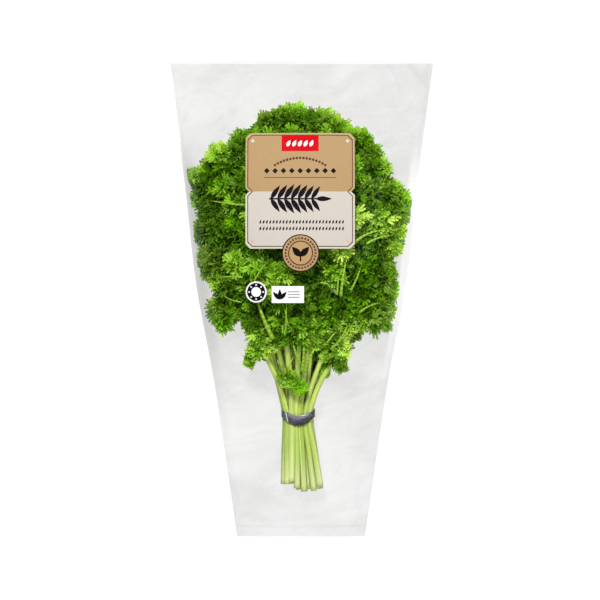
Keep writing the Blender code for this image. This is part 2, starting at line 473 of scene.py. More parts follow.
class Shading:
    """The shader nodes of one material."""

    def __init__(self, name: str) -> None:
        """Starts an empty material.

        Args:
            name: The material's name.
        """
        self.material = bpy.data.materials.new(name)
        self.material.use_nodes = True
        self.tree = self.material.node_tree
        self.tree.nodes.clear()

    def add(self, kind: str, inputs: dict | None = None, **settings: object) -> bpy.types.Node:
        """Adds a node.

        Args:
            kind: The node's type.
            inputs: What goes into its sockets: a value, or another node's output.
            **settings: The node's own settings.

        Returns:
            The node.
        """
        node = self.tree.nodes.new(kind)
        for key, value in settings.items():
            setattr(node, key, value)
        for key, value in (inputs or {}).items():
            if isinstance(value, bpy.types.NodeSocket):
                self.tree.links.new(value, node.inputs[key])
            else:
                node.inputs[key].default_value = value
        return node

    def blend(self, low: object, high: object, share: object) -> Socket:
        """A colour between two others.

        Args:
            low: The colour at share 0: three numbers or a socket.
            high: The colour at share 1: three numbers or a socket.
            share: A number or a socket.

        Returns:
            The blended colour.
        """
        ends = [(*c, 1.0) if isinstance(c, tuple) else c for c in (low, high)]
        node = self.add("ShaderNodeMix", {0: share, 6: ends[0], 7: ends[1]}, data_type="RGBA")
        return node.outputs[2]

    def maths(
        self, operation: str, first: object, second: object = 0.5, clamp: bool = True
    ) -> Socket:
        """The result of one operation on two numbers, kept between 0 and 1 with clamp."""
        numbers = {0: first, 1: second}
        return self.add("ShaderNodeMath", numbers, operation=operation, use_clamp=clamp).outputs[0]

    def times(self, first: object, second: object) -> Socket:
        """The product of two numbers, kept between 0 and 1."""
        return self.maths("MULTIPLY", first, second)

    def plus(self, first: object, second: object) -> Socket:
        """The sum of two numbers, kept between 0 and 1."""
        return self.maths("ADD", first, second)

    def apart(self, first: object, second: object) -> Socket:
        """How far apart two numbers are, at most 1."""
        return self.maths("ABSOLUTE", self.maths("SUBTRACT", first, second, clamp=False))

    def stretch(
        self, value: Socket, low: float, high: float, start: float = 0.0, end: float = 1.0
    ) -> Socket:
        """Maps a value from the range low to high onto the range start to end."""
        numbers = {"Value": value, 1: low, 2: high, 3: start, 4: end}
        return self.add("ShaderNodeMapRange", numbers, interpolation_type="SMOOTHSTEP").outputs[0]

    def grain(
        self,
        scale: float,
        detail: float = 3.0,
        stretch: Point = (1.0, 1.0, 1.0),
        turn: float = 0.0,
        where: Socket | None = None,
        distortion: float = 0.0,
    ) -> Socket:
        """A soft noise over the piece.

        Args:
            scale: How many cells it has to a metre.
            detail: How many finer layers it has.
            stretch: The scale along each axis.
            turn: How far it is turned about z, in radians.
            where: The coordinates it follows, the object's own if none are given.
            distortion: How far it is swirled.

        Returns:
            The noise, from 0 to 1.
        """
        start = where or self.add("ShaderNodeTexCoord").outputs["Object"]
        sizes = tuple(1 / s for s in stretch)
        mapped = self.add(
            "ShaderNodeMapping",
            {"Vector": start, "Rotation": (0.0, 0.0, turn), "Scale": sizes},
            vector_type="TEXTURE",
        )
        numbers = {
            "Vector": mapped.outputs[0], "Scale": scale, "Detail": detail, "Distortion": distortion
        }
        return self.add("ShaderNodeTexNoise", numbers).outputs[0]

    def bump(self, height: Socket, strength: float, distance: float) -> Socket:
        """A normal that follows a height."""
        numbers = {"Height": height, "Strength": strength, "Distance": distance}
        return self.add("ShaderNodeBump", numbers).outputs[0]

    def skin(
        self, colour: object, rough: object, normal: Socket | None = None, specular: float = 0.5
    ) -> Socket:
        """A Principled surface.

        Args:
            colour: Its colour: four numbers or a socket.
            rough: Its roughness: a number or a socket.
            normal: Its normal, the plain one if none is given.
            specular: How much it mirrors.

        Returns:
            The shader.
        """
        inputs = {"Base Color": colour, "Roughness": rough, "Specular IOR Level": specular}
        if normal is not None:
            inputs["Normal"] = normal
        return self.add("ShaderNodeBsdfPrincipled", inputs).outputs[0]

    def mix(self, share: object, first: Socket, second: Socket) -> Socket:
        """A shader between two others, the first at share 0 and the second at share 1."""
        return self.add("ShaderNodeMixShader", {0: share, 1: first, 2: second}).outputs[0]

    def done(self, surface: Socket) -> Paint:
        """Joins the last shader to the output and returns the material."""
        self.add("ShaderNodeOutputMaterial", {"Surface": surface})
        return self.material


@dataclass(frozen=True)
class LeafFinish:
    """Curly parsley blades: green, with painted shade inside the head and at the leaflets' feet,
    and yellower tips that are partly new growth and partly painted highlight.

    Attributes:
        glow: The light that the lit blades let through.
        thinness: How much of the light goes through a blade.
    """

    # painted_shade_green stands in for the shade inside the head: painted shade. fresh_and_lit is
    # the green in painted light, and young_and_highlight is the yellow of new tips, partly painted
    # highlight.
    painted_shade_green: Colour = (0.012, 0.062, 0.0006)
    fresh_and_lit: Colour = (0.290, 0.730, 0.002)
    young_and_highlight: Colour = (0.760, 0.900, 0.170)
    glow: Colour = (0.600, 0.900, 0.006)
    roughness: float = 0.30
    specular: float = 0.28
    thinness: float = 0.36

    def make(self, name: str) -> Paint:
        """Makes the material.

        Args:
            name: The material's name.

        Returns:
            The material, which reads the tint attribute: tone, youth_and_highlight and place along
            the leaflet.
        """
        s = Shading(name)
        tint = s.add("ShaderNodeAttribute", attribute_name="tint").outputs["Color"]
        tone, youth_and_highlight, along = s.add("ShaderNodeSeparateColor", {0: tint}).outputs[:3]
        mottle = s.stretch(s.grain(420.0, 2.0), 0.35, 0.65)
        # Painted shade: a low tone and the leaflets' feet blend the blades towards
        # painted_shade_green.
        lit = s.times(s.stretch(along, 0.1, 0.9, 0.45, 1.0), tone)
        # The yellow tips: partly new growth, partly painted highlight.
        tips = s.times(s.stretch(along, 0.2, 0.95, 0.35, 1.0), youth_and_highlight)
        green = s.blend(s.blend(self.painted_shade_green, self.fresh_and_lit, lit), self.young_and_highlight, tips)
        green = s.blend(green, self.fresh_and_lit, s.times(mottle, 0.15))
        rough = s.stretch(s.grain(900.0), 0.3, 0.7, self.roughness - 0.08, self.roughness + 0.14)
        normal = s.bump(s.grain(1600.0, 2.0), 0.35, 0.0004)
        blade = s.skin(green, rough, normal, self.specular)
        glow = s.blend(green, self.glow, s.times(tone, 0.55))
        through = s.add("ShaderNodeBsdfTranslucent", {"Color": glow, "Normal": normal})
        return s.done(s.mix(self.thinness, blade, through.outputs[0]))


@dataclass(frozen=True)
class StemFinish:
    """Ridged pale green stems, whiter towards their cut ends, with painted light above the band and
    on the front stems and painted shade on the others.

    Attributes:
        pale: The colour of the ridges.
        green: The colour between them, and of the painted shade on the darker stems.
        white: The colour of the cut ends, and of the palest streaks, which are partly pale ridges
            and partly painted highlight.
        bright: The colour of the painted light above the band.
        shade: How much painted shade the darkest stems have all over.
        white_foot: How white the cut end is, and how far up that reaches.
        above_band: From where to where along a stem the painted light comes in.
    """

    pale: Colour = (0.480, 0.620, 0.055)
    green: Colour = (0.160, 0.310, 0.001)
    white: Colour = (0.600, 0.660, 0.330)
    bright: Colour = (0.700, 0.860, 0.160)
    roughness: float = 0.26
    shade: float = 0.34
    white_foot: Spot = (0.60, 0.20)
    above_band: Spot = (0.37, 0.50)

    def make(self, name: str, seed: float, paleness_and_light: float) -> Paint:
        """Makes the material.

        Args:
            name: The material's name.
            seed: Moves the streaks, so that no two stems match.
            paleness_and_light: How much paler the whole stem is, from 0 to 1: partly at random,
                partly painted light on the front stems.

        Returns:
            The material, which reads the stem map: across the stem and along it.
        """
        s = Shading(name)
        where = s.add("ShaderNodeUVMap", uv_map="stem").outputs[0]
        shifted = s.add("ShaderNodeMapping", {"Vector": where, "Location": (seed, 3.0 * seed, 0.0)})
        streaks = s.grain(1.0, 3.0, (26.0, 1.6, 1.0), where=shifted.outputs[0])
        along = s.add("ShaderNodeSeparateXYZ", {0: where}).outputs[1]
        whiteness, reach = self.white_foot
        colour = s.blend(self.green, self.pale, s.stretch(streaks, 0.34, 0.60))
        for over, share in (
            # Painted shade: the less pale stems are blended towards green all over.
            (self.green, self.shade * (1.0 - paleness_and_light)),
            # The white streaks: partly pale ridges, partly painted highlight.
            (self.white, s.stretch(streaks, 0.56, 0.68, 0.6 * paleness_and_light, 0.85)),
            (self.white, s.stretch(along, 0.0, reach, whiteness, 0.0)),
            # Painted light above the band, stronger on the paler stems.
            (self.bright, s.stretch(along, *self.above_band, 0.0, 0.10 + 0.74 * paleness_and_light)),
        ):
            colour = s.blend(colour, over, share)
        rough = s.stretch(streaks, 0.3, 0.7, self.roughness, self.roughness + 0.15)
        return s.done(s.skin(colour, rough, s.bump(streaks, 0.5, 0.0006), 0.35))


@dataclass(frozen=True)
class StalkFinish:
    """The thin pale stalks inside a leaf."""

    pale: Colour = (0.660, 0.810, 0.220)
    green: Colour = (0.400, 0.620, 0.060)

    def make(self, name: str) -> Paint:
        """Makes the material, which is paler where its noise is high.

        Args:
            name: The material's name.

        Returns:
            The material.
        """
        s = Shading(name)
        patches = s.grain(300.0, 2.0)
        colour = s.blend(self.green, self.pale, s.stretch(patches, 0.35, 0.6))
        return s.done(s.skin(colour, s.stretch(patches, 0.3, 0.7, 0.38, 0.5)))


@dataclass(frozen=True)
class RubberFinish:
    """Stretched dark purple-grey rubber with a dusty bloom and a painted highlight on the fold's
    crest.
    """

    dark: Colour = (0.016, 0.014, 0.023)
    dusty: Colour = (0.105, 0.096, 0.128)
    painted_highlight: Colour = (0.560, 0.540, 0.600)

    def make(self, name: str) -> Paint:
        """Makes the material, with fine lines along the stretch.

        Args:
            name: The material's name.

        Returns:
            The material.
        """
        s = Shading(name)
        lines = s.grain(160.0, 4.0, (0.35, 6.0, 1.0))
        patches = s.grain(240.0, 2.0)
        dust = s.times(s.stretch(lines, 0.3, 0.7, 0.2), s.stretch(patches, 0.3, 0.7, 0.3))
        crest = s.add("ShaderNodeAttribute", attribute_name="crest").outputs["Fac"]
        colour = s.blend(self.dark, self.dusty, dust)
        # Painted highlight along the fold's crest.
        colour = s.blend(colour, self.painted_highlight, s.stretch(crest, 0.30, 0.90, 0.0, 0.85))
        rough = s.stretch(patches, 0.3, 0.7, 0.26, 0.46)
        return s.done(s.skin(colour, rough, s.bump(lines, 0.4, 0.0004)))


@dataclass(frozen=True)
class FilmFinish:
    """Thin clear film with cloudy creases, a hazier weld along each side, a crimped foot, painted
    shade on its left wall and painted light on its right wall.

    Shares across run from 0 at the left weld to 1 at the right one, and shares along from 0 at
    the foot to 1 at the mouth.

    Attributes:
        clear: What the film lets through where it lies smooth.
        cloudy: What it lets through where it is creased.
        painted_shade_tint: What it lets through on the steep left wall beside the leaves: painted
            shade.
        lit: What it lets through on the steep right wall there: painted light.
        rim: How wide the film's darker cut edge is, as a share of the width.
        most_gloss: The most that it mirrors.
        crimp: How far from the foot the crimped line runs, as a share of the length.
        fold: How long the folded corner's sides are.
        mouth: The film's width at the mouth and its length, for the corner.
        left_wall: From where to where the left wall's painted shade runs, and how strong it is at
            each.
        right_wall: The same for the right wall's painted light.
    """

    clear: Colour = (0.924, 0.922, 0.921)
    cloudy: Colour = (0.846, 0.842, 0.840)
    painted_shade_tint: Colour = (0.760, 0.758, 0.752)
    lit: Colour = (0.985, 0.985, 0.985)
    haze: Colour = (0.50, 0.51, 0.51)
    least_haze: float = 0.0006
    edge_haze: float = 0.035
    weld_haze: float = 0.03
    rim: float = 0.0045
    gloss: float = 0.14
    most_gloss: float = 0.009
    crimp: float = 0.022
    fold: float = 0.021
    mouth: Spot = (0.19, 0.34)
    left_wall: tuple[float, float, float, float] = (0.020, 0.085, 0.8, 0.0)
    right_wall: tuple[float, float, float, float] = (0.952, 0.972, 0.0, 0.9)

    def make(self, name: str) -> Paint:
        """Makes the material.

        Args:
            name: The material's name.

        Returns:
            The material, which reads the film map: across the sleeve and along it.
        """
        s = Shading(name)
        where = s.add("ShaderNodeUVMap", uv_map="film").outputs[0]
        across, along = s.add("ShaderNodeSeparateXYZ", {0: where}).outputs[:2]
        creases = s.grain(30.0, 4.0, (1.6, 0.45, 1.0), -0.80, distortion=1.2)
        off_middle = s.times(s.apart(across, 0.5), 2.0)
        weld = s.stretch(off_middle, 0.957, 0.963, 0.0, self.weld_haze)
        edge = s.stretch(across, 0.030, 0.070, self.edge_haze, self.least_haze)
        normal = s.bump(creases, 0.3, 0.003)
        body = s.skin((*self.haze, 1.0), 0.35, normal)
        tint = s.blend(self.clear, self.cloudy, self._clouds(s, creases, across, along))
        # Painted shade on the left wall and painted light on the right one, beside the leaves.
        leafy = s.times(s.stretch(along, 0.30, 0.50), s.stretch(along, 0.72, 0.86, 1.0, 0.0))
        for wall, colour in ((self.left_wall, self.painted_shade_tint), (self.right_wall, self.lit)):
            tint = s.blend(tint, colour, s.times(s.stretch(across, *wall), leafy))
        clear = s.add("ShaderNodeBsdfTransparent", {"Color": tint}).outputs[0]
        shine = s.add("ShaderNodeBsdfAnisotropic", {"Roughness": self.gloss, "Normal": normal})
        mirror = s.add("ShaderNodeFresnel", {"IOR": 1.10, "Normal": normal}).outputs[0]
        mirror = s.maths("MINIMUM", mirror, self.most_gloss)
        return s.done(s.mix(mirror, s.mix(s.plus(weld, edge), clear, body), shine.outputs[0]))

    def _clouds(self, s: Shading, creases: Socket, across: Socket, along: Socket) -> Socket:
        """Where the film is cloudy.

        Args:
            s: The material in the making.
            creases: The long noise that the creases follow.
            across: From the left weld, 0, to the right one, 1.
            along: From the foot, 0, to the mouth, 1.

        Returns:
            From 0, clear, to 1, cloudy.
        """
        clouds = s.stretch(s.grain(17.0, 3.0, (1.0, 0.6, 1.0), 0.9, distortion=0.8), 0.34, 0.62)
        smears = s.stretch(s.grain(46.0, 5.0, (1.0, 0.40, 1.0), -1.35, distortion=1.6), 0.42, 0.66)
        lines = s.stretch(s.apart(creases, 0.5), 0.0, 0.030, 1.0, 0.0)
        crimp = s.stretch(s.apart(along, self.crimp), 0.0, 0.0030, 0.55, 0.0)
        from_right, from_mouth = (s.maths("SUBTRACT", 1.0, p, clamp=False) for p in (across, along))
        corner = s.maths(
            "ADD",
            s.maths("MULTIPLY", from_right, self.mouth[0], clamp=False),
            s.maths("MULTIPLY", from_mouth, self.mouth[1], clamp=False),
            clamp=False,
        )
        folded = s.stretch(corner, self.fold - 0.0008, self.fold, 0.9, 0.0)
        off_edge = s.maths("MINIMUM", across, from_right)
        cut = s.stretch(off_edge, self.rim * 0.5, self.rim, 1.0, 0.0)
        share = s.times(clouds, 0.66)
        for part, weight in ((smears, 0.40), (lines, 0.20)):
            share = s.plus(share, s.times(part, weight))
        share = s.times(share, s.stretch(along, 0.02, 0.42, 0.82, 1.0))
        for part, weight in ((crimp, 0.7), (folded, 0.9), (cut, 0.5)):
            share = s.plus(share, s.times(part, weight))
        return share


@dataclass(frozen=True)
class InkFinish:
    """One printed ink: an even colour with the faint speckle of print on film.

    Attributes:
        colour: The ink's lightest colour.
        speckle: How much darker its darkest spots are, as a share.
        specular: How much it mirrors.
    """

    colour: Colour
    speckle: float = 0.06
    specular: float = 0.03

    def make(self, name: str) -> Paint:
        """Makes the material, a little darker and lighter over the print.

        Args:
            name: The material's name.

        Returns:
            The material.
        """
        s = Shading(name)
        darker = tuple(c * (1 - self.speckle) for c in self.colour)
        tone = s.blend(darker, self.colour, s.stretch(s.grain(900.0, 3.0), 0.3, 0.7))
        rough = s.stretch(s.grain(120.0), 0.3, 0.7, 0.50, 0.60)
        return s.done(s.skin(tone, rough, specular=self.specular))


class Ink(Enum):
    """The label's inks."""

    KRAFT_EDGE = InkFinish((0.335, 0.247, 0.120))
    KRAFT = InkFinish((0.303, 0.198, 0.096))
    CREAM_EDGE = InkFinish((0.415, 0.411, 0.330))
    CREAM = InkFinish((0.402, 0.366, 0.326))
    TAN = InkFinish((0.330, 0.205, 0.094))
    BROWN = InkFinish((0.070, 0.028, 0.018))
    DARK = InkFinish((0.005, 0.004, 0.005))
    RED = InkFinish((0.395, 0.001, 0.005), 0.02)
    ROSE = InkFinish((0.470, 0.290, 0.220))
    GREY = InkFinish((0.170, 0.170, 0.180))
    WHITE = InkFinish((0.650, 0.650, 0.650), 0.03)


# --- The sleeve's form and the bunch's plan ---


@dataclass(frozen=True)
class SleeveForm:
    """The tapered sleeve: how wide it is at each y, and how high its two films stand.

    Attributes:
        seam_gap: How far apart the films are at the welds.
        flat_share: How much of the back film lies flat, as a share of its half width.
        bulge: How far each side bows out round the leaves.
        bulge_y: Where it bows out most.
        bulge_reach: How far along the sleeve that spreads.
        sections: y, crest height, weld height and roundness of the sides, from foot to mouth.
    """

    length: float = 0.340
    mouth_width: float = 0.190
    foot_width: float = 0.092
    film: float = 0.0004
    seam_gap: float = 0.0005
    flat_share: float = 0.42
    weld: float = 0.0016
    bulge: float = 0.0026
    bulge_y: float = 0.012
    bulge_reach: float = 0.050
    sections: tuple[tuple[float, float, float, float], ...] = (
        (-0.170, 0.0125, 0.0020, 0.0),
        (-0.135, 0.0180, 0.0025, 0.1),
        (-0.084, 0.0215, 0.0035, 0.2),
        (-0.040, 0.0430, 0.0100, 0.6),
        (0.010, 0.0600, 0.0190, 1.0),
        (0.060, 0.0640, 0.0220, 1.0),
        (0.110, 0.0560, 0.0180, 0.9),
        (0.145, 0.0380, 0.0100, 0.5),
        (0.170, 0.0260, 0.0050, 0.2),
    )

    def half_width(self, y: Array) -> Array:
        """How wide the sleeve is.

        Args:
            y: Places along the sleeve.

        Returns:
            Half the width at each place.
        """
        share = (y + self.length / 2) / self.length
        bulge = self.bulge * np.exp(-(((y - self.bulge_y) / self.bulge_reach) ** 2))
        return (self.foot_width + (self.mouth_width - self.foot_width) * share) / 2 + bulge

    def section(self, y: Array) -> tuple[Array, Array, Array]:
        """The smooth cross-section at y.

        Args:
            y: Places along the sleeve.

        Returns:
            The crest height, the weld height and the roundness at each place.
        """
        rows = np.array(self.sections)
        at = np.clip(y, rows[0, 0], rows[-1, 0])
        crest, weld, roundness = np.moveaxis(smooth_through(rows[:, 0], rows[:, 1:], at), -1, 0)
        return crest, weld, roundness

    def _across(self, x: Array, y: Array) -> Array:
        """How far out each place is, from 0 in the middle to 1 at the welds and past them."""
        return np.minimum(np.abs(x) / (self.half_width(y) - self.weld), 1.0)

    def front_height(self, x: Array, y: Array) -> Array:
        """Height of the front film's inner side.

        Args:
            x: Places across the sleeve.
            y: Places along it.

        Returns:
            The height at each place.
        """
        crest, weld, roundness = self.section(y)
        rise = (1 - self._across(x, y) ** (2 + 0.4 * roundness)) ** (1 / (1 + 1.2 * roundness))
        return weld + self.seam_gap + (crest - weld - self.seam_gap) * rise

    def back_height(self, x: Array, y: Array) -> Array:
        """Height of the back film's outer side: flat in the middle, curling up to the welds.

        Args:
            x: Places across the sleeve.
            y: Places along it.

        Returns:
            The height at each place.
        """
        _, weld, roundness = self.section(y)
        past = np.maximum(0.0, (self._across(x, y) - self.flat_share) / (1 - self.flat_share))
        return (weld - self.film - self.seam_gap) * (1 - (1 - past**2.2) ** (1 / (1 + roundness)))

    def tuck_inside(self, points: Array, room: float = 0.0012, give: float = 0.0040) -> Array:
        """Presses points into the space between the films, softly.

        Args:
            points: The points, one row each.
            room: The least space left to a film.
            give: Over what depth below a film the points start to yield.

        Returns:
            The pressed points.
        """
        x, y, z = points.T.copy()
        side = self.half_width(y) - self.weld - room / 2
        x = np.sign(x) * held_below(np.abs(x), side, give * 0.4)
        z = held_below(z, self.front_height(x, y) - room, give)
        z = -held_below(-z, -(self.back_height(x, y) + room / 2), give)
        return np.stack([x, y, z], axis=1)


@dataclass(frozen=True)
class LeafPlace:
    """Where one leaf stands: its number, its middle, its foot and the route of its stem."""

    number: int
    middle: Vector
    foot: Vector
    route: list[Vector]


@dataclass(frozen=True)
class BunchPlan:
    """Which stem goes where: four layers through the band, fanning out to the leaves.

    Attributes:
        stem_pitch: How far apart stems are in the band, and the layers too.
        bundle_x: x of the bundle's middle.
        layer_counts: How many stems each layer has, from the front one down.
        lowest_stem: The height of the lowest layer in the band.
        cut_step: How much shorter the stems left of the middle are cut.
        ragged: How far a cut end strays along its stem.
        cut_spread: How much the stems spread from the band to their cut ends.
        cut_lean: How far they all lean to the right there.
        middle_height: The height of the middle layer where the stems have fanned out.
        fan_length: How far past the band the stems have fanned out.
        fan_curve: How late they part sideways, 1 for straight away.
        layer_pitch: How far apart the layers are there.
        front_height: The height of the front leaves' middles at most.
        under_film: How far below the front film those stay.
        back_height: The height of the back leaves' middles.
        leaf_foot: How far a leaf's foot is from its middle.
        neck: The point that the leaves' feet turn to.
        front: x and y of the front leaves' middles.
        back: x and y of the back leaves' middles.
    """

    sleeve: SleeveForm
    stem_pitch: float = 0.00315
    bundle_x: float = -0.0020
    layer_counts: tuple[int, ...] = (6, 7, 6, 6)
    lowest_stem: float = 0.0042
    band_y: float = -0.084
    cut_y: float = -0.1350
    cut_step: float = 0.0050
    ragged: float = 0.0022
    cut_spread: float = 0.46
    cut_lean: float = 0.0028
    middle_height: float = 0.0310
    fan_length: float = 0.075
    fan_curve: float = 1.5
    layer_pitch: float = 0.0039
    step: float = 0.019
    front_height: float = 0.0455
    under_film: float = 0.0140
    back_height: float = 0.0150
    leaf_foot: float = 0.017
    neck: Point = (0.0, -0.062, 0.0150)
    front: tuple[Spot, ...] = (
        (-0.016, 0.119), (0.015, 0.121),
        (-0.061, 0.090), (-0.023, 0.083), (0.025, 0.085), (0.061, 0.084),
        (-0.063, 0.044), (-0.021, 0.043), (0.021, 0.047), (0.062, 0.042),
        (-0.050, -0.003), (0.000, 0.006), (0.054, -0.003),
    )
    back: tuple[Spot, ...] = (
        (0.000, 0.124), (-0.040, 0.104), (0.041, 0.105),
        (-0.066, 0.064), (-0.022, 0.068), (0.023, 0.066), (0.067, 0.066),
        (-0.055, 0.014), (-0.019, 0.026), (0.025, 0.023), (0.058, 0.014), (0.002, -0.014),
    )

    def _slots(self) -> list[list[Spot]]:
        """Works out where each stem crosses the band.

        Returns:
            x and z of each stem, layer by layer from the front down.
        """
        slots = []
        for layer, count in enumerate(self.layer_counts):
            z = self.lowest_stem + (len(self.layer_counts) - 1 - layer) * self.stem_pitch
            offs = [(i - (count - 1) / 2) * self.stem_pitch for i in range(count)]
            slots.append([(self.bundle_x + off, z) for off in offs])
        return slots

    def _front_middle(self, x: float, y: float) -> Vector:
        """The middle of a front leaf, kept below the front film."""
        film = float(self.sleeve.front_height(x, y))
        return Vector((x, y, min(self.front_height, film - self.under_film)))

    def _middles(self) -> list[list[Vector]]:
        """Works out the middle of each leaf.

        Returns:
            Near and far front leaves, then far and near back leaves, each from left to right.
        """
        front = [self._front_middle(x, y) for x, y in self.front]
        back = [Vector((x, y, self.back_height)) for x, y in self.back]
        neck = Vector(self.neck).xy
        layers = []
        for leaves, first, far_first in ((front, 0, False), (back, 2, True)):
            count = self.layer_counts[first]
            ordered = sorted(leaves, key=lambda p: (p.xy - neck).length, reverse=far_first)
            layers += [ordered[:count], ordered[count:]]
        return [sorted(layer, key=self._turn) for layer in layers]

    def _turn(self, middle: Vector) -> float:
        """Which way a leaf's middle lies from the neck, rising from left to right."""
        return math.atan2(middle.x, middle.y - self.neck[1])

    def _route(self, slot: Spot, foot: Vector, layer: int, cut_y: float) -> list[Vector]:
        """A stem's points, from its cut end through the band to its leaf.

        Args:
            slot: x and z where the stem crosses the band.
            foot: Where the leaf's own stalks begin.
            layer: The stem's layer, 0 in front.
            cut_y: Where the stem is cut.

        Returns:
            The points.
        """
        x, z = slot
        aside = (x - self.bundle_x) * self.cut_spread + self.cut_lean
        points = [
            Vector((x + aside * t, self.band_y + (cut_y - self.band_y) * t, z - 0.001 * t))
            for t in (1.0, 0.45)
        ]
        layer_z = self.middle_height + (len(self.layer_counts) / 2 - 0.5 - layer) * self.layer_pitch
        stations = [self.band_y]
        while foot.y - stations[-1] > 1.5 * self.step:
            stations.append(stations[-1] + self.step)
        for y in stations + [foot.y]:
            s = (y - self.band_y) / (foot.y - self.band_y)
            lift = min(1.0, (y - self.band_y) / self.fan_length)
            level = z + (layer_z - z) * lift * lift * (3 - 2 * lift)
            across = x + (foot.x - x) * s**self.fan_curve
            points.append(Vector((across, y, level + (foot.z - level) * s**5)))
        return points

    def leaves(self) -> list[LeafPlace]:
        """Sets out every leaf with its stem, numbered as in the frame.

        Returns:
            The leaves.
        """
        rng = np.random.default_rng(PLAN_SEED)
        places = []
        slots = self._slots()
        for layer, middles in enumerate(self._middles()):
            for slot, middle in zip(slots[layer], middles):
                foot = middle + (Vector(self.neck) - middle).normalized() * self.leaf_foot
                cut_y = self.cut_y + self.ragged * rng.uniform(-1, 1)
                if slot[0] < self.bundle_x - 0.6 * self.stem_pitch:
                    cut_y += self.cut_step
                route = self._route(slot, foot, layer, cut_y)
                places.append(LeafPlace(len(places) + 1, middle, foot, route))
        return places


# --- The leaves ---


@dataclass(frozen=True)
class CurlyLeaflet:
    """One small leaflet of a curly leaf: a narrow foot, three lobes and three teeth on each.

    Attributes:
        splay: The angle between neighbouring lobes, in degrees.
        fan: The angle between neighbouring teeth, in degrees.
        ruffle: How far the lobes stand out of the leaflet's plane.
        curl: How far the whole leaflet curls up towards its tip.
        seed: Makes each leaflet different.
    """

    foot_width: float = 0.0014
    foot_length: float = 0.0015
    lobe_length: float = 0.0030
    lobe_width: float = 0.0046
    tooth_length: float = 0.0021
    tooth_width: float = 0.0013
    splay: float = 48.0
    fan: float = 24.0
    ruffle: float = 0.0024
    curl: float = 0.0016
    seed: int = 0

    def model(self) -> Pattern:
        """Models the leaflet, growing along +Y from the origin.

        Returns:
            The leaflet's pattern.
        """
        rng = np.random.default_rng(LEAFLET_SEED + self.seed)
        Bench.clear_selection()
        bpy.ops.mesh.primitive_plane_add(size=1.0)
        blade = bpy.context.object
        Bench.edit(blade, action="SELECT")
        bpy.ops.transform.resize(value=(self.foot_width, self.foot_length, 1.0))
        bpy.ops.transform.translate(value=(0.0, self.foot_length / 2, 0.0))
        Bench.pick_edges(blade, self._is_far)
        bpy.ops.mesh.subdivide(number_cuts=2)
        starts = self._edge_middles(blade, self._is_far)
        lobes = []
        for turn, start in zip((1, 0, -1), starts):
            angle = math.radians(turn * self.splay + rng.uniform(-9, 9))
            rise = self.ruffle * (0.9 if turn == 0 else -0.5) * rng.uniform(0.5, 1.3)
            length = self.lobe_length * (1.15 if turn == 0 else 0.95) * rng.uniform(0.85, 1.15)
            tip = self._grow(blade, start, angle, length, self.lobe_width, rise)
            lobes.append((tip, angle, rise))
        for tip, angle, rise in lobes:
            self._near(blade, tip)
            bpy.ops.mesh.subdivide(number_cuts=2)
            across = Vector((math.cos(angle), math.sin(angle), 0.0)) * self.lobe_width / 3
            for turn in (1, 0, -1):
                start = tip - across * turn
                bent = angle + math.radians(turn * self.fan + rng.uniform(-8, 8))
                length = self.tooth_length * (1.1 if turn == 0 else 0.9) * rng.uniform(0.8, 1.2)
                lift = rng.uniform(-1.0, 1.0) * self.ruffle * 0.8 + rise * 0.5
                self._grow(blade, start, bent, length, self.tooth_width, lift)
        Bench.close()
        points = Bench.points_of(blade)
        points[:, 2] += self.curl * (points[:, 1] / points[:, 1].max()) ** 2
        Bench.set_points(blade, points)
        return Pattern.taken_from(blade)

    def _is_far(self, edge: Edge) -> bool:
        """Whether an edge is the foot's far edge, or a part of it."""
        return min(vert.co.y for vert in edge.verts) > self.foot_length - 1e-7

    @staticmethod
    def _edge_middles(blade: Part, test: Callable[[Edge], bool]) -> list[Vector]:
        """The middles of the edges that pass a test, from left to right."""
        form = bmesh.from_edit_mesh(blade.data)
        return sorted((Bench.middle(e) for e in form.edges if test(e)), key=lambda p: p.x)

    @staticmethod
    def _near(blade: Part, spot: Vector) -> Vector:
        """Selects the open edge whose middle is nearest a spot.

        Args:
            blade: The leaflet, open in edit mode.
            spot: The spot.

        Returns:
            The edge's middle.
        """
        form = bmesh.from_edit_mesh(blade.data)
        rim = (e for e in form.edges if len(e.link_faces) == 1)
        best = min(rim, key=lambda e: (Bench.middle(e) - spot).length)
        return Bench.pick_edges(blade, lambda e: e.index == best.index)

    def _grow(
        self, blade: Part, start: Vector, angle: float, length: float, width: float, rise: float
    ) -> Vector:
        """Extrudes the edge at a spot into a lobe or a tooth.

        Args:
            blade: The leaflet, open in edit mode.
            start: The middle of the edge to extrude.
            angle: The growing direction, turned from +Y.
            length: How far it grows.
            width: How wide its far edge is.
            rise: How far its far edge stands out of the plane.

        Returns:
            The middle of the far edge.
        """
        cos, sin = math.cos(angle), math.sin(angle)
        middle = self._near(blade, start)
        step = Vector((-sin * length, cos * length, rise))
        bpy.ops.mesh.extrude_region_move(TRANSFORM_OT_translate={"value": tuple(step)})
        far = middle + step
        form = bmesh.from_edit_mesh(blade.data)
        edge = next(e for e in form.edges if e.select)
        flat = Vector((cos, sin, 0.0)) * width / 2
        left, right = sorted(edge.verts, key=lambda v: v.co.x * cos + v.co.y * sin)
        left.co, right.co = far - flat, far + flat
        bmesh.update_edit_mesh(blade.data)
        return far


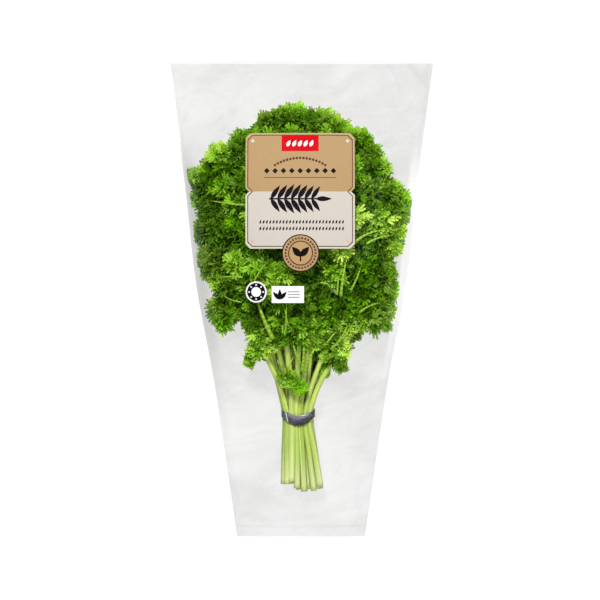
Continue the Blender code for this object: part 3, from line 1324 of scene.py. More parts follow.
@dataclass(frozen=True)
class StalkPiece:
    """A short tapering length of stalk, one long and one in radius, to be set and scaled."""

    sides: int = 6
    taper: float = 0.82

    def model(self) -> Pattern:
        """Models the length of stalk, growing along +Y from the origin.

        Returns:
            The stalk's pattern.
        """
        Bench.clear_selection()
        bpy.ops.mesh.primitive_cylinder_add(
            vertices=self.sides, radius=1.0, depth=1.0, end_fill_type="NOTHING",
            location=(0.0, 0.5, 0.0), rotation=(-math.pi / 2, 0.0, 0.0),
        )
        stalk = bpy.context.object
        bpy.ops.object.transform_apply(location=True, rotation=True, scale=True)
        Bench.edit(stalk, VERTS)
        form = bmesh.from_edit_mesh(stalk.data)
        for vert in form.verts:
            vert.select_set(vert.co.y > 0.5)
        bmesh.update_edit_mesh(stalk.data)
        bpy.ops.transform.resize(value=(self.taper, 1.0, self.taper))
        Bench.close()
        pattern = Pattern.taken_from(stalk)
        return Pattern(pattern.points, pattern.loops, pattern.sizes, pattern.points[:, 1])


@dataclass(frozen=True)
class Frond:
    """One dome of leaflets on its own stalk.

    Attributes:
        middle: The middle of the dome.
        axis: The way the dome faces.
        size: The radius of the dome.
        tone: From 0, dark green in painted shade, to 1, green in painted light, with some variation
            at random.
        youth_and_highlight: From 0 to 1, how yellow it is: partly new growth, partly painted
            highlight.
        root: Where its stalk leaves the leaf's main stalk, once it has a leaf.
    """

    middle: Array
    axis: Array
    size: float
    tone: float
    youth_and_highlight: float
    root: Array | None = None


@dataclass(frozen=True)
class Crown:
    """The leafy head as a whole: its outline from above and how its fronds fill it.

    Its four tables are in millimetres, and brightness is in hundredths.

    Attributes:
        neck: x and y of the point that the fronds lean away from.
        layers: Where the layers lie between the films: -1 at the back one, 1 at the front one.
        frond_size: The usual radius of a frond in the front and the back layer.
        spacing: The least distance between two fronds there.
        skin: How far from the films the fronds' middles stay.
        reach: How far a cluster's brightness spreads.
        hollow: How far the darkest hollows lie below the brightest clusters.
        side_room: How far from the sleeve's welds the outermost fronds stand.
        rim: How wide the strip along the outline is that is filled first.
        rim_spacing: How near each other fronds stand there, as a share of the spacing.
        tries: How many spots are tried.
        outer: The spacing's share and the margin of the front and the back layer.
        inner: The same for the layers between them.
        inner_room: How far from the films' middle the films must be for a frond between them.
        unevenness: How far a frond lies above or below its layer.
        edge_reach: How far in from the outline fronds lean outward, and how fast that fades.
        front_lift: How far the front fronds face up.
        back_lift: How far the back fronds face down.
        size_range: The least and the most of the usual size that a frond has.
        past_weld: How far past its room beside the weld a frond reaches.
        overhang: How far past the outline a frond reaches.
        less_at_neck: How much less it does there.
        neck_y: Where the neck begins. No back leaves grow below it.
        behind_size: The size of the shaded leaves between the stems.
        behind_z: Their height.
        behind_tone: Their tone, low, which is painted shade.
        hanging_size: The size of the small leaves that hang out of the head's edge.
        hanging_drop: How far under the front film those hang.
        hanging_z: How high they hang at least.
        hanging_tone: Their tone.
        behind: x and y of the shaded leaves that show between the stems.
        hanging: x and y of the small leaves that hang out of the head's edge.
        outline: The head's edge from above, x and y, all the way round.
        clusters: x, y and brightness of what shows in front, from 0, a dark hollow, to 100: partly
            how new the leaves are, partly painted light and shade.
    """

    sleeve: SleeveForm
    neck: Spot = (0.0, -0.062)
    layers: tuple[float, ...] = (1.0, 0.45, -0.2, -1.0)
    frond_size: float = 0.0112
    spacing: float = 0.0128
    skin: float = 0.0080
    reach: float = 0.0085
    hollow: float = 0.0110
    side_room: float = 0.0028
    rim: float = 0.0012
    rim_spacing: float = 0.72
    tries: int = 16000
    outer: Spot = (1.0, 0.0038)
    inner: Spot = (1.2, 0.0080)
    inner_room: float = 0.009
    unevenness: float = 0.0015
    edge_reach: Spot = (0.006, 0.008)
    front_lift: float = 0.95
    back_lift: float = -0.75
    size_range: Spot = (0.85, 1.18)
    past_weld: float = 0.0035
    overhang: float = 0.0045
    less_at_neck: float = 0.0032
    neck_y: float = -0.030
    behind_size: float = 0.0072
    behind_z: float = 0.0095
    behind_tone: float = 0.18
    hanging_size: float = 0.0041
    hanging_drop: float = 0.0150
    hanging_z: float = 0.012
    hanging_tone: float = 0.66
    outline: tuple[Spot, ...] = (
        (-35, 120), (-35, 126), (-29, 133), (-23, 134), (-18, 137), (-7, 140.5), (3, 137),
        (14, 136), (21, 134.5), (26.5, 132), (31, 128), (35, 122.5), (40, 123), (45, 121),
        (49, 118), (53, 112), (56, 107), (61, 100), (63, 95), (63, 90), (67, 86), (72, 80),
        (77, 75), (79, 71), (78, 62), (77, 54), (74.5, 45), (72, 37), (67, 32), (66, 27), (68, 20),
        (69, 11), (68, 0), (66, -8.5), (63, -15.5), (60, -22.5), (57, -22), (55, -15.5), (50, -18),
        (48, -22), (42, -26), (36, -25), (35, -32), (34, -42), (30, -52), (26, -47), (21, -51),
        (17, -54), (14.5, -47), (11, -37), (3, -34), (-7, -32), (-16, -35), (-21, -42), (-25, -40),
        (-30, -39.5), (-33, -43), (-36, -48), (-39, -48), (-40.5, -43), (-38.5, -34), (-37, -27),
        (-42, -18), (-45.5, -13.5), (-49, -17), (-52.5, -20.5), (-55.5, -24), (-60, -21),
        (-64, -14), (-64.5, -3.5), (-62, 2), (-64.5, 15.5), (-67, 8.5), (-69.5, 12.5), (-72, 25),
        (-74, 39), (-76.5, 51), (-74, 58.5), (-72.5, 65), (-76, 68.5), (-78, 75), (-76, 81),
        (-80, 86), (-81, 92), (-78, 96.5), (-74, 96.5), (-71, 94), (-65, 94.5), (-67.5, 99),
        (-67.5, 104), (-64.5, 108), (-61, 111), (-55, 111.5), (-50.5, 113), (-47.5, 118),
        (-43.5, 121), (-39, 122),
    )
    clusters: tuple[Point, ...] = (
        (-25, 125, 40), (-7, 131, 55), (10, 127, 55), (24, 126, 65), (-44, 111, 30), (-60, 104, 85),
        (-47, 100, 15), (-75, 89, 65), (-62, 83, 48), (-44, 87, 40), (-46, 75, 62), (-72, 72, 38),
        (-61, 68, 10), (-50, 63, 0), (-50, 55, 50), (-63, 54, 0), (-46, 44, 0), (-68, 41, 42),
        (-56, 35, 15), (-45, 30, 85), (-56, 22, 75), (-37, 19, 66), (-67, 24, 36), (-49, 9, 0),
        (-56, -4, 60), (-57, -15, 55), (-40, 2, 25), (-39, -7, 5), (-24, 29, 25), (-15, 20, 60),
        (-30, 14, 68), (-34, -18, 60), (-14, -6, 50), (-4, -12, 26), (2, 10, 35), (9, 18, 0),
        (25, 27, 85), (12, 30, 35), (17, 8, 48), (33, 8, 10), (46, 24, 35), (58, 13, 45),
        (40, 18, 10), (49, 38, 0), (47, 56, 95), (66, 63, 74), (67, 47, 80), (49, 75, 0),
        (58, 69, 20), (66, 79, 55), (43, 90, 50), (56, 91, 70), (53, 101, 25), (42, 113, 50),
        (51, 111, 40), (59, -5, 68), (54, -16, 50), (42, -18, 98), (20, -2, 5), (30, -10, 48),
        (7, -20, 58), (-13, -22, 52), (-26, -31, 88), (-37, -41, 75), (19, -32, 85), (30, -36, 90),
        (29, -47, 80), (20, -46, 75), (0, -29, 40), (0, 100, 50), (-20, 80, 50), (20, 60, 50),
    )
    behind: tuple[Spot, ...] = (
        (-19, -40), (-14, -36), (-8, -42), (-1, -39), (6, -43), (13, -40), (-9, -51), (4, -54),
        (-2, -48), (9, -50),
    )
    hanging: tuple[Spot, ...] = (
        (-35, -35.5), (-36, -39), (-37, -42.5), (-37.5, -45), (30, -41), (29.5, -44), (29, -47),
        (29.5, -49), (18.5, -47), (18, -50), (17.5, -52), (61, -19), (-79, 88.5), (-77, 85),
    )

    def depth(self, spots: Array) -> Array:
        """How far inside the outline each spot is, below 0 outside it.

        Args:
            spots: x and y of each spot, one row each.

        Returns:
            The distances.
        """
        starts = np.array(self.outline) / 1000
        runs = np.roll(starts, -1, axis=0) - starts
        away = spots[:, None, :] - starts[None]
        share = np.clip((away * runs).sum(-1) / (runs**2).sum(-1), 0, 1)
        apart = np.linalg.norm(away - share[..., None] * runs, axis=-1).min(axis=1)
        x, y = spots[:, :1], spots[:, 1:]
        above = (starts[:, 1] > y) != ((starts + runs)[:, 1] > y)
        rise = np.where(np.abs(runs[:, 1]) < 1e-12, 1e-12, runs[:, 1])
        crossing = x < starts[:, 0] + (y - starts[:, 1]) / rise * runs[:, 0]
        inside = (above & crossing).sum(axis=1) % 2 == 1
        return np.where(inside, apart, -apart)

    def outward(self, spots: Array) -> Array:
        """The way to the nearest edge from each spot, in x and y.

        Args:
            spots: x and y of each spot, one row each.

        Returns:
            The ways, one row each.
        """
        small = 0.0015
        slope = [
            self.depth(spots + step) - self.depth(spots - step)
            for step in (np.array([small, 0.0]), np.array([0.0, small]))
        ]
        return -unit(np.stack(slope, axis=1))

    def freshness_and_light(self, spots: Array) -> Array:
        """How bright the head is in front at each spot, from its nearest clusters: partly how new
        the leaves are, partly painted light and shade.

        Args:
            spots: x and y of each spot, one row each.

        Returns:
            From 0, a dark hollow, to 1, at each spot.
        """
        rows = np.array(self.clusters) / (1000, 1000, 100)
        apart = ((spots[:, None, :] - rows[None, :, :2]) ** 2).sum(axis=-1)
        weight = np.exp((apart.min(axis=1, keepdims=True) - apart) / self.reach**2)
        return (weight * rows[:, 2]).sum(axis=1) / weight.sum(axis=1)

    def spots(self, spacing: float, margin: float, rng: Rng) -> Array:
        """Spreads spots over the head, first along its edge and then over the rest.

        Args:
            spacing: The least distance between two spots.
            margin: How far the outermost spots are from the edge.
            rng: The head's random numbers.

        Returns:
            x and y of each spot, one row each.
        """
        edge = np.array(self.outline) / 1000
        tries = rng.uniform(edge.min(0), edge.max(0), (self.tries, 2))
        depth = self.depth(tries)
        on_rim = (depth > margin) & (depth < margin + self.rim)
        inside = depth >= margin + self.rim
        order = np.concatenate([tries[on_rim], tries[inside]])
        gaps = spacing * np.repeat([self.rim_spacing, 1.0], [on_rim.sum(), inside.sum()])
        kept = order[:1]
        for spot, gap in zip(order[1:], gaps[1:]):
            if np.linalg.norm(kept - spot, axis=1).min() >= gap:
                kept = np.concatenate([kept, spot[None]])
        return kept

    def fronds(self, rng: Rng) -> list[Frond]:
        """Fills the head with fronds in layers from the front film to the back one.

        Args:
            rng: The head's random numbers.

        Returns:
            The fronds, each still without a leaf of its own.
        """
        found = []
        for layer in self.layers:
            sparse, margin = self.outer if abs(layer) == 1.0 else self.inner
            found += self._layer(layer, self.spots(self.spacing * sparse, margin, rng), rng)
        # The leaves behind the stems: their low tone is painted shade.
        for x, y in np.array(self.behind) / 1000:
            axis = unit(np.array([0.0, -0.4, 1.0]) + rng.normal(0, 0.3, 3))
            place = np.array([x, y, self.behind_z])
            found.append(Frond(place, axis, self.behind_size, self.behind_tone, 0.0))
        for x, y in np.array(self.hanging) / 1000:
            z = max(float(self.sleeve.front_height(x, y)) - self.hanging_drop, self.hanging_z)
            axis = unit(np.array([0.2 * np.sign(x), -0.5, 1.0]) + rng.normal(0, 0.2, 3))
            youth_and_highlight = rng.uniform(0.0, 0.3)
            place = np.array([x, y, z])
            found.append(Frond(place, axis, self.hanging_size, self.hanging_tone, youth_and_highlight))
        return found

    def _layer(self, layer: float, spots: Array, rng: Rng) -> list[Frond]:
        """Sets one layer of fronds.

        Args:
            layer: Where it lies between the films: -1 at the back one, 1 at the front one.
            spots: x and y of each frond.
            rng: The head's random numbers.

        Returns:
            The layer's fronds.
        """
        count, outer = len(spots), abs(layer) == 1
        side = self.sleeve.half_width(spots[:, 1]) - self.sleeve.weld - self.side_room
        spots = np.column_stack([np.clip(spots[:, 0], -side, side), spots[:, 1]])
        x, y = spots.T
        depth = np.maximum(self.depth(spots), 0.003)
        top, low = self.sleeve.front_height(x, y), self.sleeve.back_height(x, y)
        middle, room = (top + low) / 2, np.maximum((top - low) / 2 - self.skin, 0.0)
        keep = (room > (0.0 if outer else self.inner_room)) & ((layer > 0) | (y > self.neck_y))
        # The front layer's tone follows the clusters: partly how new the leaves are, partly painted
        # light and shade.
        fresh_and_lit = self.freshness_and_light(spots) if layer > 0 else rng.beta(1.6, 1.6, count)
        z = middle + room * layer + rng.uniform(-self.unevenness, self.unevenness, count)
        if layer == 1.0:
            z -= np.minimum((1 - fresh_and_lit) * self.hollow, room)
        places = np.column_stack([spots, z])
        reach, fade = self.edge_reach
        near_edge = np.exp(-np.maximum(depth - reach, 0) / fade)[:, None]
        flat = unit(spots - np.array(self.neck)) * 0.5 + self.outward(spots) * near_edge * 1.1
        flat += rng.normal(0, 0.28, spots.shape)
        lift = (self.front_lift if layer > 0 else self.back_lift) * abs(layer)
        lift *= 1 - 0.45 * near_edge[:, 0]
        axes = unit(np.column_stack([flat, lift + rng.normal(0, 0.12, count)]))
        sizes = self.frond_size * (1.0 if outer else 1.15) * rng.uniform(*self.size_range, count)
        aside = self.sleeve.half_width(y) - self.sleeve.weld - np.abs(x)
        over = self.overhang - self.less_at_neck * np.clip((self.neck_y - y) / 0.010, 0, 1)
        sizes = np.minimum(sizes, np.minimum(depth + over, aside + self.past_weld))
        # Painted shade: the inner layers are darker than the front and back ones, and the head
        # darkens towards its sides.
        painted_layer_light = {1.0: 1.0, -1.0: 0.75}.get(layer, 0.25)
        painted_centre_light = 1.24 - 0.32 * (x**2 + (y - 0.045) ** 2) / 0.085**2
        tones = 0.10 + painted_layer_light * fresh_and_lit * rng.uniform(1.0, 1.4, count)
        youths_and_highlights = painted_layer_light * (1.25 * fresh_and_lit - 0.42) + rng.uniform(-0.15, 0.15, count)
        tones, youths_and_highlights = np.clip(tones * painted_centre_light, 0, 1), np.clip(youths_and_highlights * painted_centre_light, 0, 1)
        rows = zip(places, axes, sizes, tones, youths_and_highlights, keep)
        return [Frond(*row) for *row, kept in rows if kept]


@dataclass(frozen=True)
class Petiole:
    """One bare stalk that shows between the leaves, just under the front film.

    Attributes:
        start: x and y of its thick end.
        end: x and y of its thin end.
        radius: Its radius at the start.
        bow: How far it bows aside, to its left if above 0.
        drop: How far under the film its upper side lies.
    """

    start: Spot
    end: Spot
    radius: float
    bow: float = 0.0
    drop: float = 0.0030


@dataclass
class Foliage:
    """The curly leaves, made of fronds, which are made of tufts, which are made of leaflets.

    Attributes:
        kinds: How many leaflets are modelled.
        tufts: How many tufts a frond has.
        leaflets: How many leaflets a tuft has.
        full_size: From which radius on a frond has leaflets of full size.
        least_scale: The scale of the smallest leaflets.
        stalk_radii: The radius of a leaf's main stalk, a frond's stalk and a tuft's stalk.
        taper: How much thinner each length of a bare stalk is, as a share of its radius.
        petioles: The bare stalks that show between the leaves.
    """

    sleeve: SleeveForm
    leaf: Paint
    stalk: Paint
    kinds: int = 5
    tufts: int = 7
    leaflets: int = 6
    leaflet_length: float = 0.0075
    full_size: float = 0.0105
    least_scale: float = 0.50
    stalk_radii: Point = (0.0011, 0.00095, 0.00060)
    taper: float = 0.06
    petioles: tuple[Petiole, ...] = (
        Petiole((-0.020, -0.027), (-0.0305, -0.001), 0.0018, 0.0006),
        Petiole((-0.0108, -0.022), (-0.0100, 0.000), 0.0007),
        Petiole((-0.009, -0.018), (-0.012, -0.004), 0.0005),
        Petiole((0.0375, 0.0405), (0.058, 0.049), 0.0011, 0.0018),
        Petiole((0.0460, 0.0395), (0.064, 0.0455), 0.0010, 0.0012),
        Petiole((0.0280, 0.003), (0.0315, 0.027), 0.0012, 0.0006),
        Petiole((0.0350, 0.007), (0.0415, 0.022), 0.0009, -0.0004),
        Petiole((0.0252, 0.004), (0.0262, 0.017), 0.0009),
        Petiole((0.0210, -0.0345), (0.0345, -0.0205), 0.0009, -0.0006),
        Petiole((0.0185, -0.0300), (0.0250, -0.0220), 0.0009, 0.0003),
        Petiole((0.0225, -0.0335), (0.0330, -0.0175), 0.0010, -0.0010),
        Petiole((0.0137, 0.0120), (0.0210, 0.0070), 0.0007, 0.0020),
        Petiole((-0.039, 0.0665), (-0.063, 0.0700), 0.0008, 0.0008),
        Petiole((-0.041, 0.0160), (-0.0585, 0.0150), 0.0008, -0.0010),
        Petiole((0.0415, -0.0085), (0.0560, -0.0020), 0.0009, 0.0012),
        Petiole((-0.0330, 0.0120), (-0.0240, 0.0260), 0.0007, 0.0008),
        Petiole((-0.0420, -0.0015), (-0.0560, 0.0040), 0.0006, 0.0010),
        Petiole((0.0030, -0.0510), (0.0120, -0.0320), 0.0012, 0.0016, 0.0060),
        Petiole((0.0005, -0.0500), (0.0020, -0.0290), 0.0012, -0.0006, 0.0060),
        Petiole((-0.0005, -0.0450), (-0.0060, -0.0280), 0.0011, 0.0008, 0.0060),
        Petiole((-0.0090, -0.0530), (-0.0050, -0.0400), 0.0008, 0.0010, 0.0060),
    )
    patterns: list[Pattern] = field(default_factory=list)
    stalk_pattern: Pattern | None = None

    def model_patterns(self) -> None:
        """Models the leaflets and the length of stalk that every leaf is set from."""
        self.patterns = [CurlyLeaflet(seed=n).model() for n in range(self.kinds)]
        self.stalk_pattern = StalkPiece().model()

    @staticmethod
    def share_out(fronds: list[Frond], places: list[LeafPlace]) -> list[list[Frond]]:
        """Gives each frond to the leaf that stands nearest.

        Args:
            fronds: All the head's fronds.
            places: The leaves.

        Returns:
            The fronds of each leaf, rooted on its own stalk.
        """
        middles = np.array([tuple(p.middle) for p in places])
        feet = np.array([tuple(p.foot) for p in places])
        shares: list[list[Frond]] = [[] for _ in places]
        for frond in fronds:
            apart = (frond.middle - middles) * np.array([1.0, 1.0, 1.25])
            nearest = int(np.argmin((apart**2).sum(axis=1)))
            foot, stalk = feet[nearest], middles[nearest] - feet[nearest]
            level = (frond.middle - foot) @ stalk / (stalk @ stalk)
            root = foot + stalk * np.clip(level - 0.45, 0.05, 0.95)
            shares[nearest].append(replace(frond, root=root))
        return shares

    def share_petioles(self, places: list[LeafPlace]) -> list[list[Petiole]]:
        """Gives each bare stalk to the leaf that stands nearest its thin end.

        Args:
            places: The leaves.

        Returns:
            The bare stalks of each leaf.
        """
        middles = np.array([tuple(p.middle)[:2] for p in places])
        shares: list[list[Petiole]] = [[] for _ in places]
        for petiole in self.petioles:
            nearest = int(np.argmin(((middles - np.array(petiole.end)) ** 2).sum(axis=1)))
            shares[nearest].append(petiole)
        return shares

    @staticmethod
    def sprig_fronds(low: Vector, high: Vector, count: int, rng: Rng) -> list[Frond]:
        """Lays out the fronds of the small sprig in front, side by side across it.

        Args:
            low: The sprig's lowest corner.
            high: Its highest corner.
            count: How many fronds.
            rng: The sprig's random numbers.

        Returns:
            The fronds.
        """
        fronds = []
        low, high = np.array(low), np.array(high)
        for k in range(count):
            along = (k + 0.5) / count
            share = np.array([0.20 + 0.72 * along, 0.64 - 0.44 * along, 0.75])
            spot = low + (high - low) * share
            axis = unit(np.array([1.2 * (share[0] - 0.5), -0.35, 0.9]) + rng.normal(0, 0.15, 3))
            root = np.array([spot[0] * 0.6, high[1], low[2]])
            tone, youth_and_highlight = rng.uniform(0.40, 0.75), rng.uniform(0.0, 0.35)
            fronds.append(Frond(spot, axis, 0.0068 * rng.uniform(0.8, 1.15), tone, youth_and_highlight, root))
        return fronds

    def _scale(self, frond: Frond, most: float) -> float:
        """The scale of a frond's leaflets, smaller on a small frond and at most as given."""
        return min(most, max(self.least_scale, frond.size / self.full_size))

    def _set_frond(self, heap: Heap, frond: Frond, rng: Rng) -> None:
        """Sets one frond's stalks and leaflets.

        Args:
            heap: Where the copies go.
            frond: The frond.
            rng: The leaf's own random numbers.
        """
        axis, count = unit(frond.axis), self.tufts
        base = frond.middle - axis * frond.size * 0.55
        reach = max(frond.size - self.leaflet_length * self._scale(frond, 0.72), 0.0008)
        ways = spread_about(axis, (0.0, 1.0, 0.0), (78, 0.25, 0.12), count, rng)
        tips = base + ways * (reach * rng.uniform(0.8, 1.2, count))[:, None]
        tint = (frond.tone, frond.youth_and_highlight)
        self._set_stalks(heap, frond.root[None], base[None], self.stalk_radii[1], tint)
        self._set_stalks(heap, np.tile(base, (count, 1)), tips, self.stalk_radii[2], tint)
        for tip, way in zip(tips, ways):
            self._set_tuft(heap, tip, way, frond, rng)

    def _set_petiole(self, heap: Heap, petiole: Petiole) -> None:
        """Sets one bare stalk of eight lengths, just under the front film.

        Args:
            heap: Where the copies go.
            petiole: The stalk.
        """
        count = 8
        share = np.linspace(0, 1, count + 1)[:, None]
        start, end = np.array(petiole.start), np.array(petiole.end)
        run = end - start
        aside = unit(np.array([-run[1], run[0]]))
        flat = start + run * share + aside * petiole.bow * 4 * share * (1 - share)
        z = self.sleeve.front_height(*flat.T) - petiole.drop - petiole.radius
        z -= 0.0035 * (2 * share[:, 0] - 0.8) ** 4
        line = np.column_stack([flat, z])
        ends = line[1:] + np.diff(line, axis=0) * 0.12
        radii = petiole.radius * (1 - self.taper * np.arange(count))
        self._set_stalks(heap, line[:-1], ends, radii, (0.8, 0.6))

    def _set_stalks(
        self, heap: Heap, starts: Array, ends: Array, radius: float | Array, tint: Spot
    ) -> None:
        """Sets lengths of stalk.

        Args:
            heap: Where the copies go.
            starts: Where each length starts, one row each.
            ends: Where each length ends.
            radius: Their radius, one for all or one each.
            tint: Their tone and their youth_and_highlight.
        """
        runs = ends - starts
        count = len(runs)
        lengths = np.linalg.norm(runs, axis=1)
        frames = frames_along(runs, np.zeros(count), np.full(count, radius), lengths)
        heap.set_copies(self.stalk_pattern, starts, frames, np.tile(tint, (count, 1)), 1)

    def _set_tuft(self, heap: Heap, tip: Array, way: Array, frond: Frond, rng: Rng) -> None:
        """Sets the leaflets of one tuft.

        Args:
            heap: Where the copies go.
            tip: The end of the tuft's stalk.
            way: The way the stalk points.
            frond: The frond that the tuft is part of.
            rng: The leaf's own random numbers.
        """
        n = self.leaflets
        rays = spread_about(way, (1.0, 0.0, 0.0), (95, 0.3, 0.15), n, rng)
        scales = rng.uniform(0.80, 1.20, n) * self._scale(frond, 1.0)
        frames = frames_along(rays, rng.uniform(-math.pi, math.pi, n), scales, scales)
        # Painted light and shade: leaflets facing out of the frond are lighter and yellower, those
        # facing in darker.
        outer = rays @ frond.axis
        tones = frond.tone * (1 + 0.5 * (outer - 0.3)) + rng.uniform(-0.09, 0.09, n)
        youths_and_highlights = frond.youth_and_highlight * (1 + 0.6 * (outer - 0.4)) + rng.uniform(-0.17, 0.17, n)
        tints = np.clip(np.stack([tones, youths_and_highlights], axis=1), 0, 1)
        kinds = rng.integers(0, len(self.patterns), n)
        places = tip - way * 0.0008 + rays * 0.0004
        for kind, pattern in enumerate(self.patterns):
            ours = kinds == kind
            heap.set_copies(pattern, places[ours], frames[ours], tints[ours], 0)

    def grow(
        self, node: str, place: LeafPlace, fronds: list[Frond], petioles: list[Petiole], seed: int
    ) -> Part:
        """Grows one leaf.

        Args:
            node: The frame's node that it stands for.
            place: Where it stands.
            fronds: Its fronds.
            petioles: Its bare stalks.
            seed: Where its random numbers start.

        Returns:
            The leaf.
        """
        name = f"parsley_{node}"
        rng = np.random.default_rng(seed)
        heap = Heap()
        foot, tip = place.foot, place.foot + (place.middle - place.foot) * 0.8
        tint = (fronds[0].tone, fronds[0].youth_and_highlight)
        self._set_stalks(heap, np.array([foot]), np.array([tip]), self.stalk_radii[0], tint)
        for frond in fronds:
            self._set_frond(heap, frond, rng)
        for petiole in petioles:
            self._set_petiole(heap, petiole)
        part = Bench.put(name, heap.mesh(name, self.sleeve.tuck_inside))
        Bench.set_in_frame(part, name, [self.leaf, self.stalk])
        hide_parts(node)
        return part


# --- The stems ---


@dataclass
class StemBundle:
    """The stems: a ridged stem is modelled once, and each one is bent along its own route.

    Attributes:
        sides: How many sides a stem has, every other one at the foot of a groove.
        rings: How many lengths it is made of.
        groove: How deep the grooves are, as a share of the radius that is left.
        radius: Its radius at its cut end.
        tip_radius: Its radius at its leaf.
        stray: How far a stem strays aside from its route.
        stray_below: How far below the band it starts to stray, and over what length.
        stray_above: The same above the band.
        line_points: How many points a stem's smooth line has.
    """

    plan: BunchPlan
    sides: int = 14
    rings: int = 40
    groove: float = 0.82
    radius: float = 0.00205
    tip_radius: float = 0.00130
    front_bulk: float = 1.16
    # front_painted_light: how much paler the front stems are: painted light.
    front_painted_light: float = 0.28
    stray: float = 0.0021
    stray_below: Spot = (0.003, 0.047)
    stray_above: Spot = (0.004, 0.020)
    line_points: int = 64

    def model_stem(self) -> Part:
        """Models a straight ridged stem, one long and one in radius, standing on its cut end.

        Returns:
            The straight stem.
        """
        Bench.clear_selection()
        bpy.ops.mesh.primitive_cylinder_add(
            vertices=self.sides, radius=1.0, depth=1.0, end_fill_type="NGON", location=(0, 0, 0.5)
        )
        stem = bpy.context.object
        bpy.ops.object.transform_apply(location=True)
        Bench.edit(stem)
        Bench.pick_edges(stem, lambda e: abs(e.verts[0].co.z - e.verts[1].co.z) > 0.5)
        bpy.ops.mesh.subdivide(number_cuts=self.rings - 1)
        form = bmesh.from_edit_mesh(stem.data)
        for vert in form.verts:
            number = round(math.atan2(vert.co.x, vert.co.y) / (2 * math.pi / self.sides))
            vert.select_set(number % 2 == 1)
        bmesh.update_edit_mesh(stem.data)
        bpy.context.tool_settings.mesh_select_mode = VERTS
        bpy.ops.transform.resize(value=(self.groove, self.groove, 1.0), center_override=(0, 0, 0))
        Bench.close()
        return stem

    @staticmethod
    def smooth_route(points: list[Vector], count: int) -> Array:
        """A smooth line through points.

        Args:
            points: The route's points.
            count: How many points the smooth line has.

        Returns:
            The line's points, evenly spaced along it.
        """
        rows = np.array([tuple(p) for p in points])
        steps = np.linalg.norm(np.diff(rows, axis=0), axis=1)
        knots = np.concatenate(([0], np.cumsum(steps)))
        return smooth_through(knots, rows, np.linspace(0, knots[-1], count))

    def bend(
        self, straight: Array, line: Array, radii: Array, flatness: float, spin: float
    ) -> Array:
        """Bends the straight stem's points along a line.

        Args:
            straight: The straight stem's points.
            line: The line's points, evenly spaced.
            radii: The stem's radius at each of them.
            flatness: Its height as a share of its width.
            spin: How far its ridges are turned, in radians.

        Returns:
            The bent points.
        """
        at = np.clip(straight[:, 2], 0, 1) * (len(line) - 1)
        low = np.clip(at.astype(int), 0, len(line) - 2)
        share = (at - low)[:, None]
        centres = line[low] * (1 - share) + line[low + 1] * share
        ways = unit(np.gradient(line, axis=0))
        way = unit(ways[low] * (1 - share) + ways[low + 1] * share)
        across = unit(np.cross(way, [[0.0, 0.0, 1.0]]))
        up = np.cross(across, way)
        radius = (radii[low] * (1 - share[:, 0]) + radii[low + 1] * share[:, 0])[:, None]
        cos, sin = math.cos(spin), math.sin(spin)
        x = straight[:, :1] * cos - straight[:, 1:2] * sin
        y = straight[:, :1] * sin + straight[:, 1:2] * cos
        return centres + (across * x + up * y * flatness) * radius

    def lay(self, places: list[LeafPlace], finish: StemFinish) -> list[Part]:
        """Lays every stem along its route.

        Args:
            places: The leaves with their stems' routes.
            finish: The stems' finish.

        Returns:
            The stems.
        """
        pattern = self.model_stem()
        straight = Bench.points_of(pattern)
        turn = np.arctan2(straight[:, 0], straight[:, 1]) / (2 * math.pi) + 0.5
        share = np.linspace(0, 1, self.line_points)
        band_y, (start_below, run_below) = self.plan.band_y, self.stray_below
        start_above, run_above = self.stray_above
        stems = []
        for place in places:
            rng = np.random.default_rng(STEM_SEED + place.number)
            stem = Bench.copy_of(pattern)
            line = self.smooth_route(place.route, len(share))
            below = np.clip((band_y - start_below - line[:, 1]) / run_below, 0, 1)
            above = np.clip((line[:, 1] - band_y - start_above) / run_above, 0, 1)
            above *= (1 - share) ** 2
            aside = below * rng.uniform(-0.8, 0.8) * self.stray
            line[:, 0] += aside + above * rng.uniform(-1, 1) * self.stray
            in_front = place.number <= self.plan.layer_counts[0]
            thick = rng.uniform(0.80, 1.20) * (self.front_bulk if in_front else 1.0)
            radii = thick * (self.radius + (self.tip_radius - self.radius) * share**1.5)
            flatness, spin = rng.uniform(0.86, 1.0), rng.uniform(0, ANY_TURN)
            Bench.set_points(stem, self.bend(straight, line, radii, flatness, spin))
            Bench.set_map(stem, "stem", turn, straight[:, 2])
            stem.data.shade_smooth()
            # Painted light on the front stems, on top of a random pale tone.
            paleness_and_light = rng.uniform(0.0, 0.6) + (self.front_painted_light if in_front else 0.0)
            skin = finish.make(f"stem_skin_{place.number:02d}", place.number * 0.37, paleness_and_light)
            Bench.set_in_frame(stem, f"parsley_stem_{place.number:02d}", [skin])
            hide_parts(f"stem_{place.number:02d}")
            stems.append(stem)
        bpy.data.objects.remove(pattern, do_unlink=True)
        return stems


# --- The rubber band ---


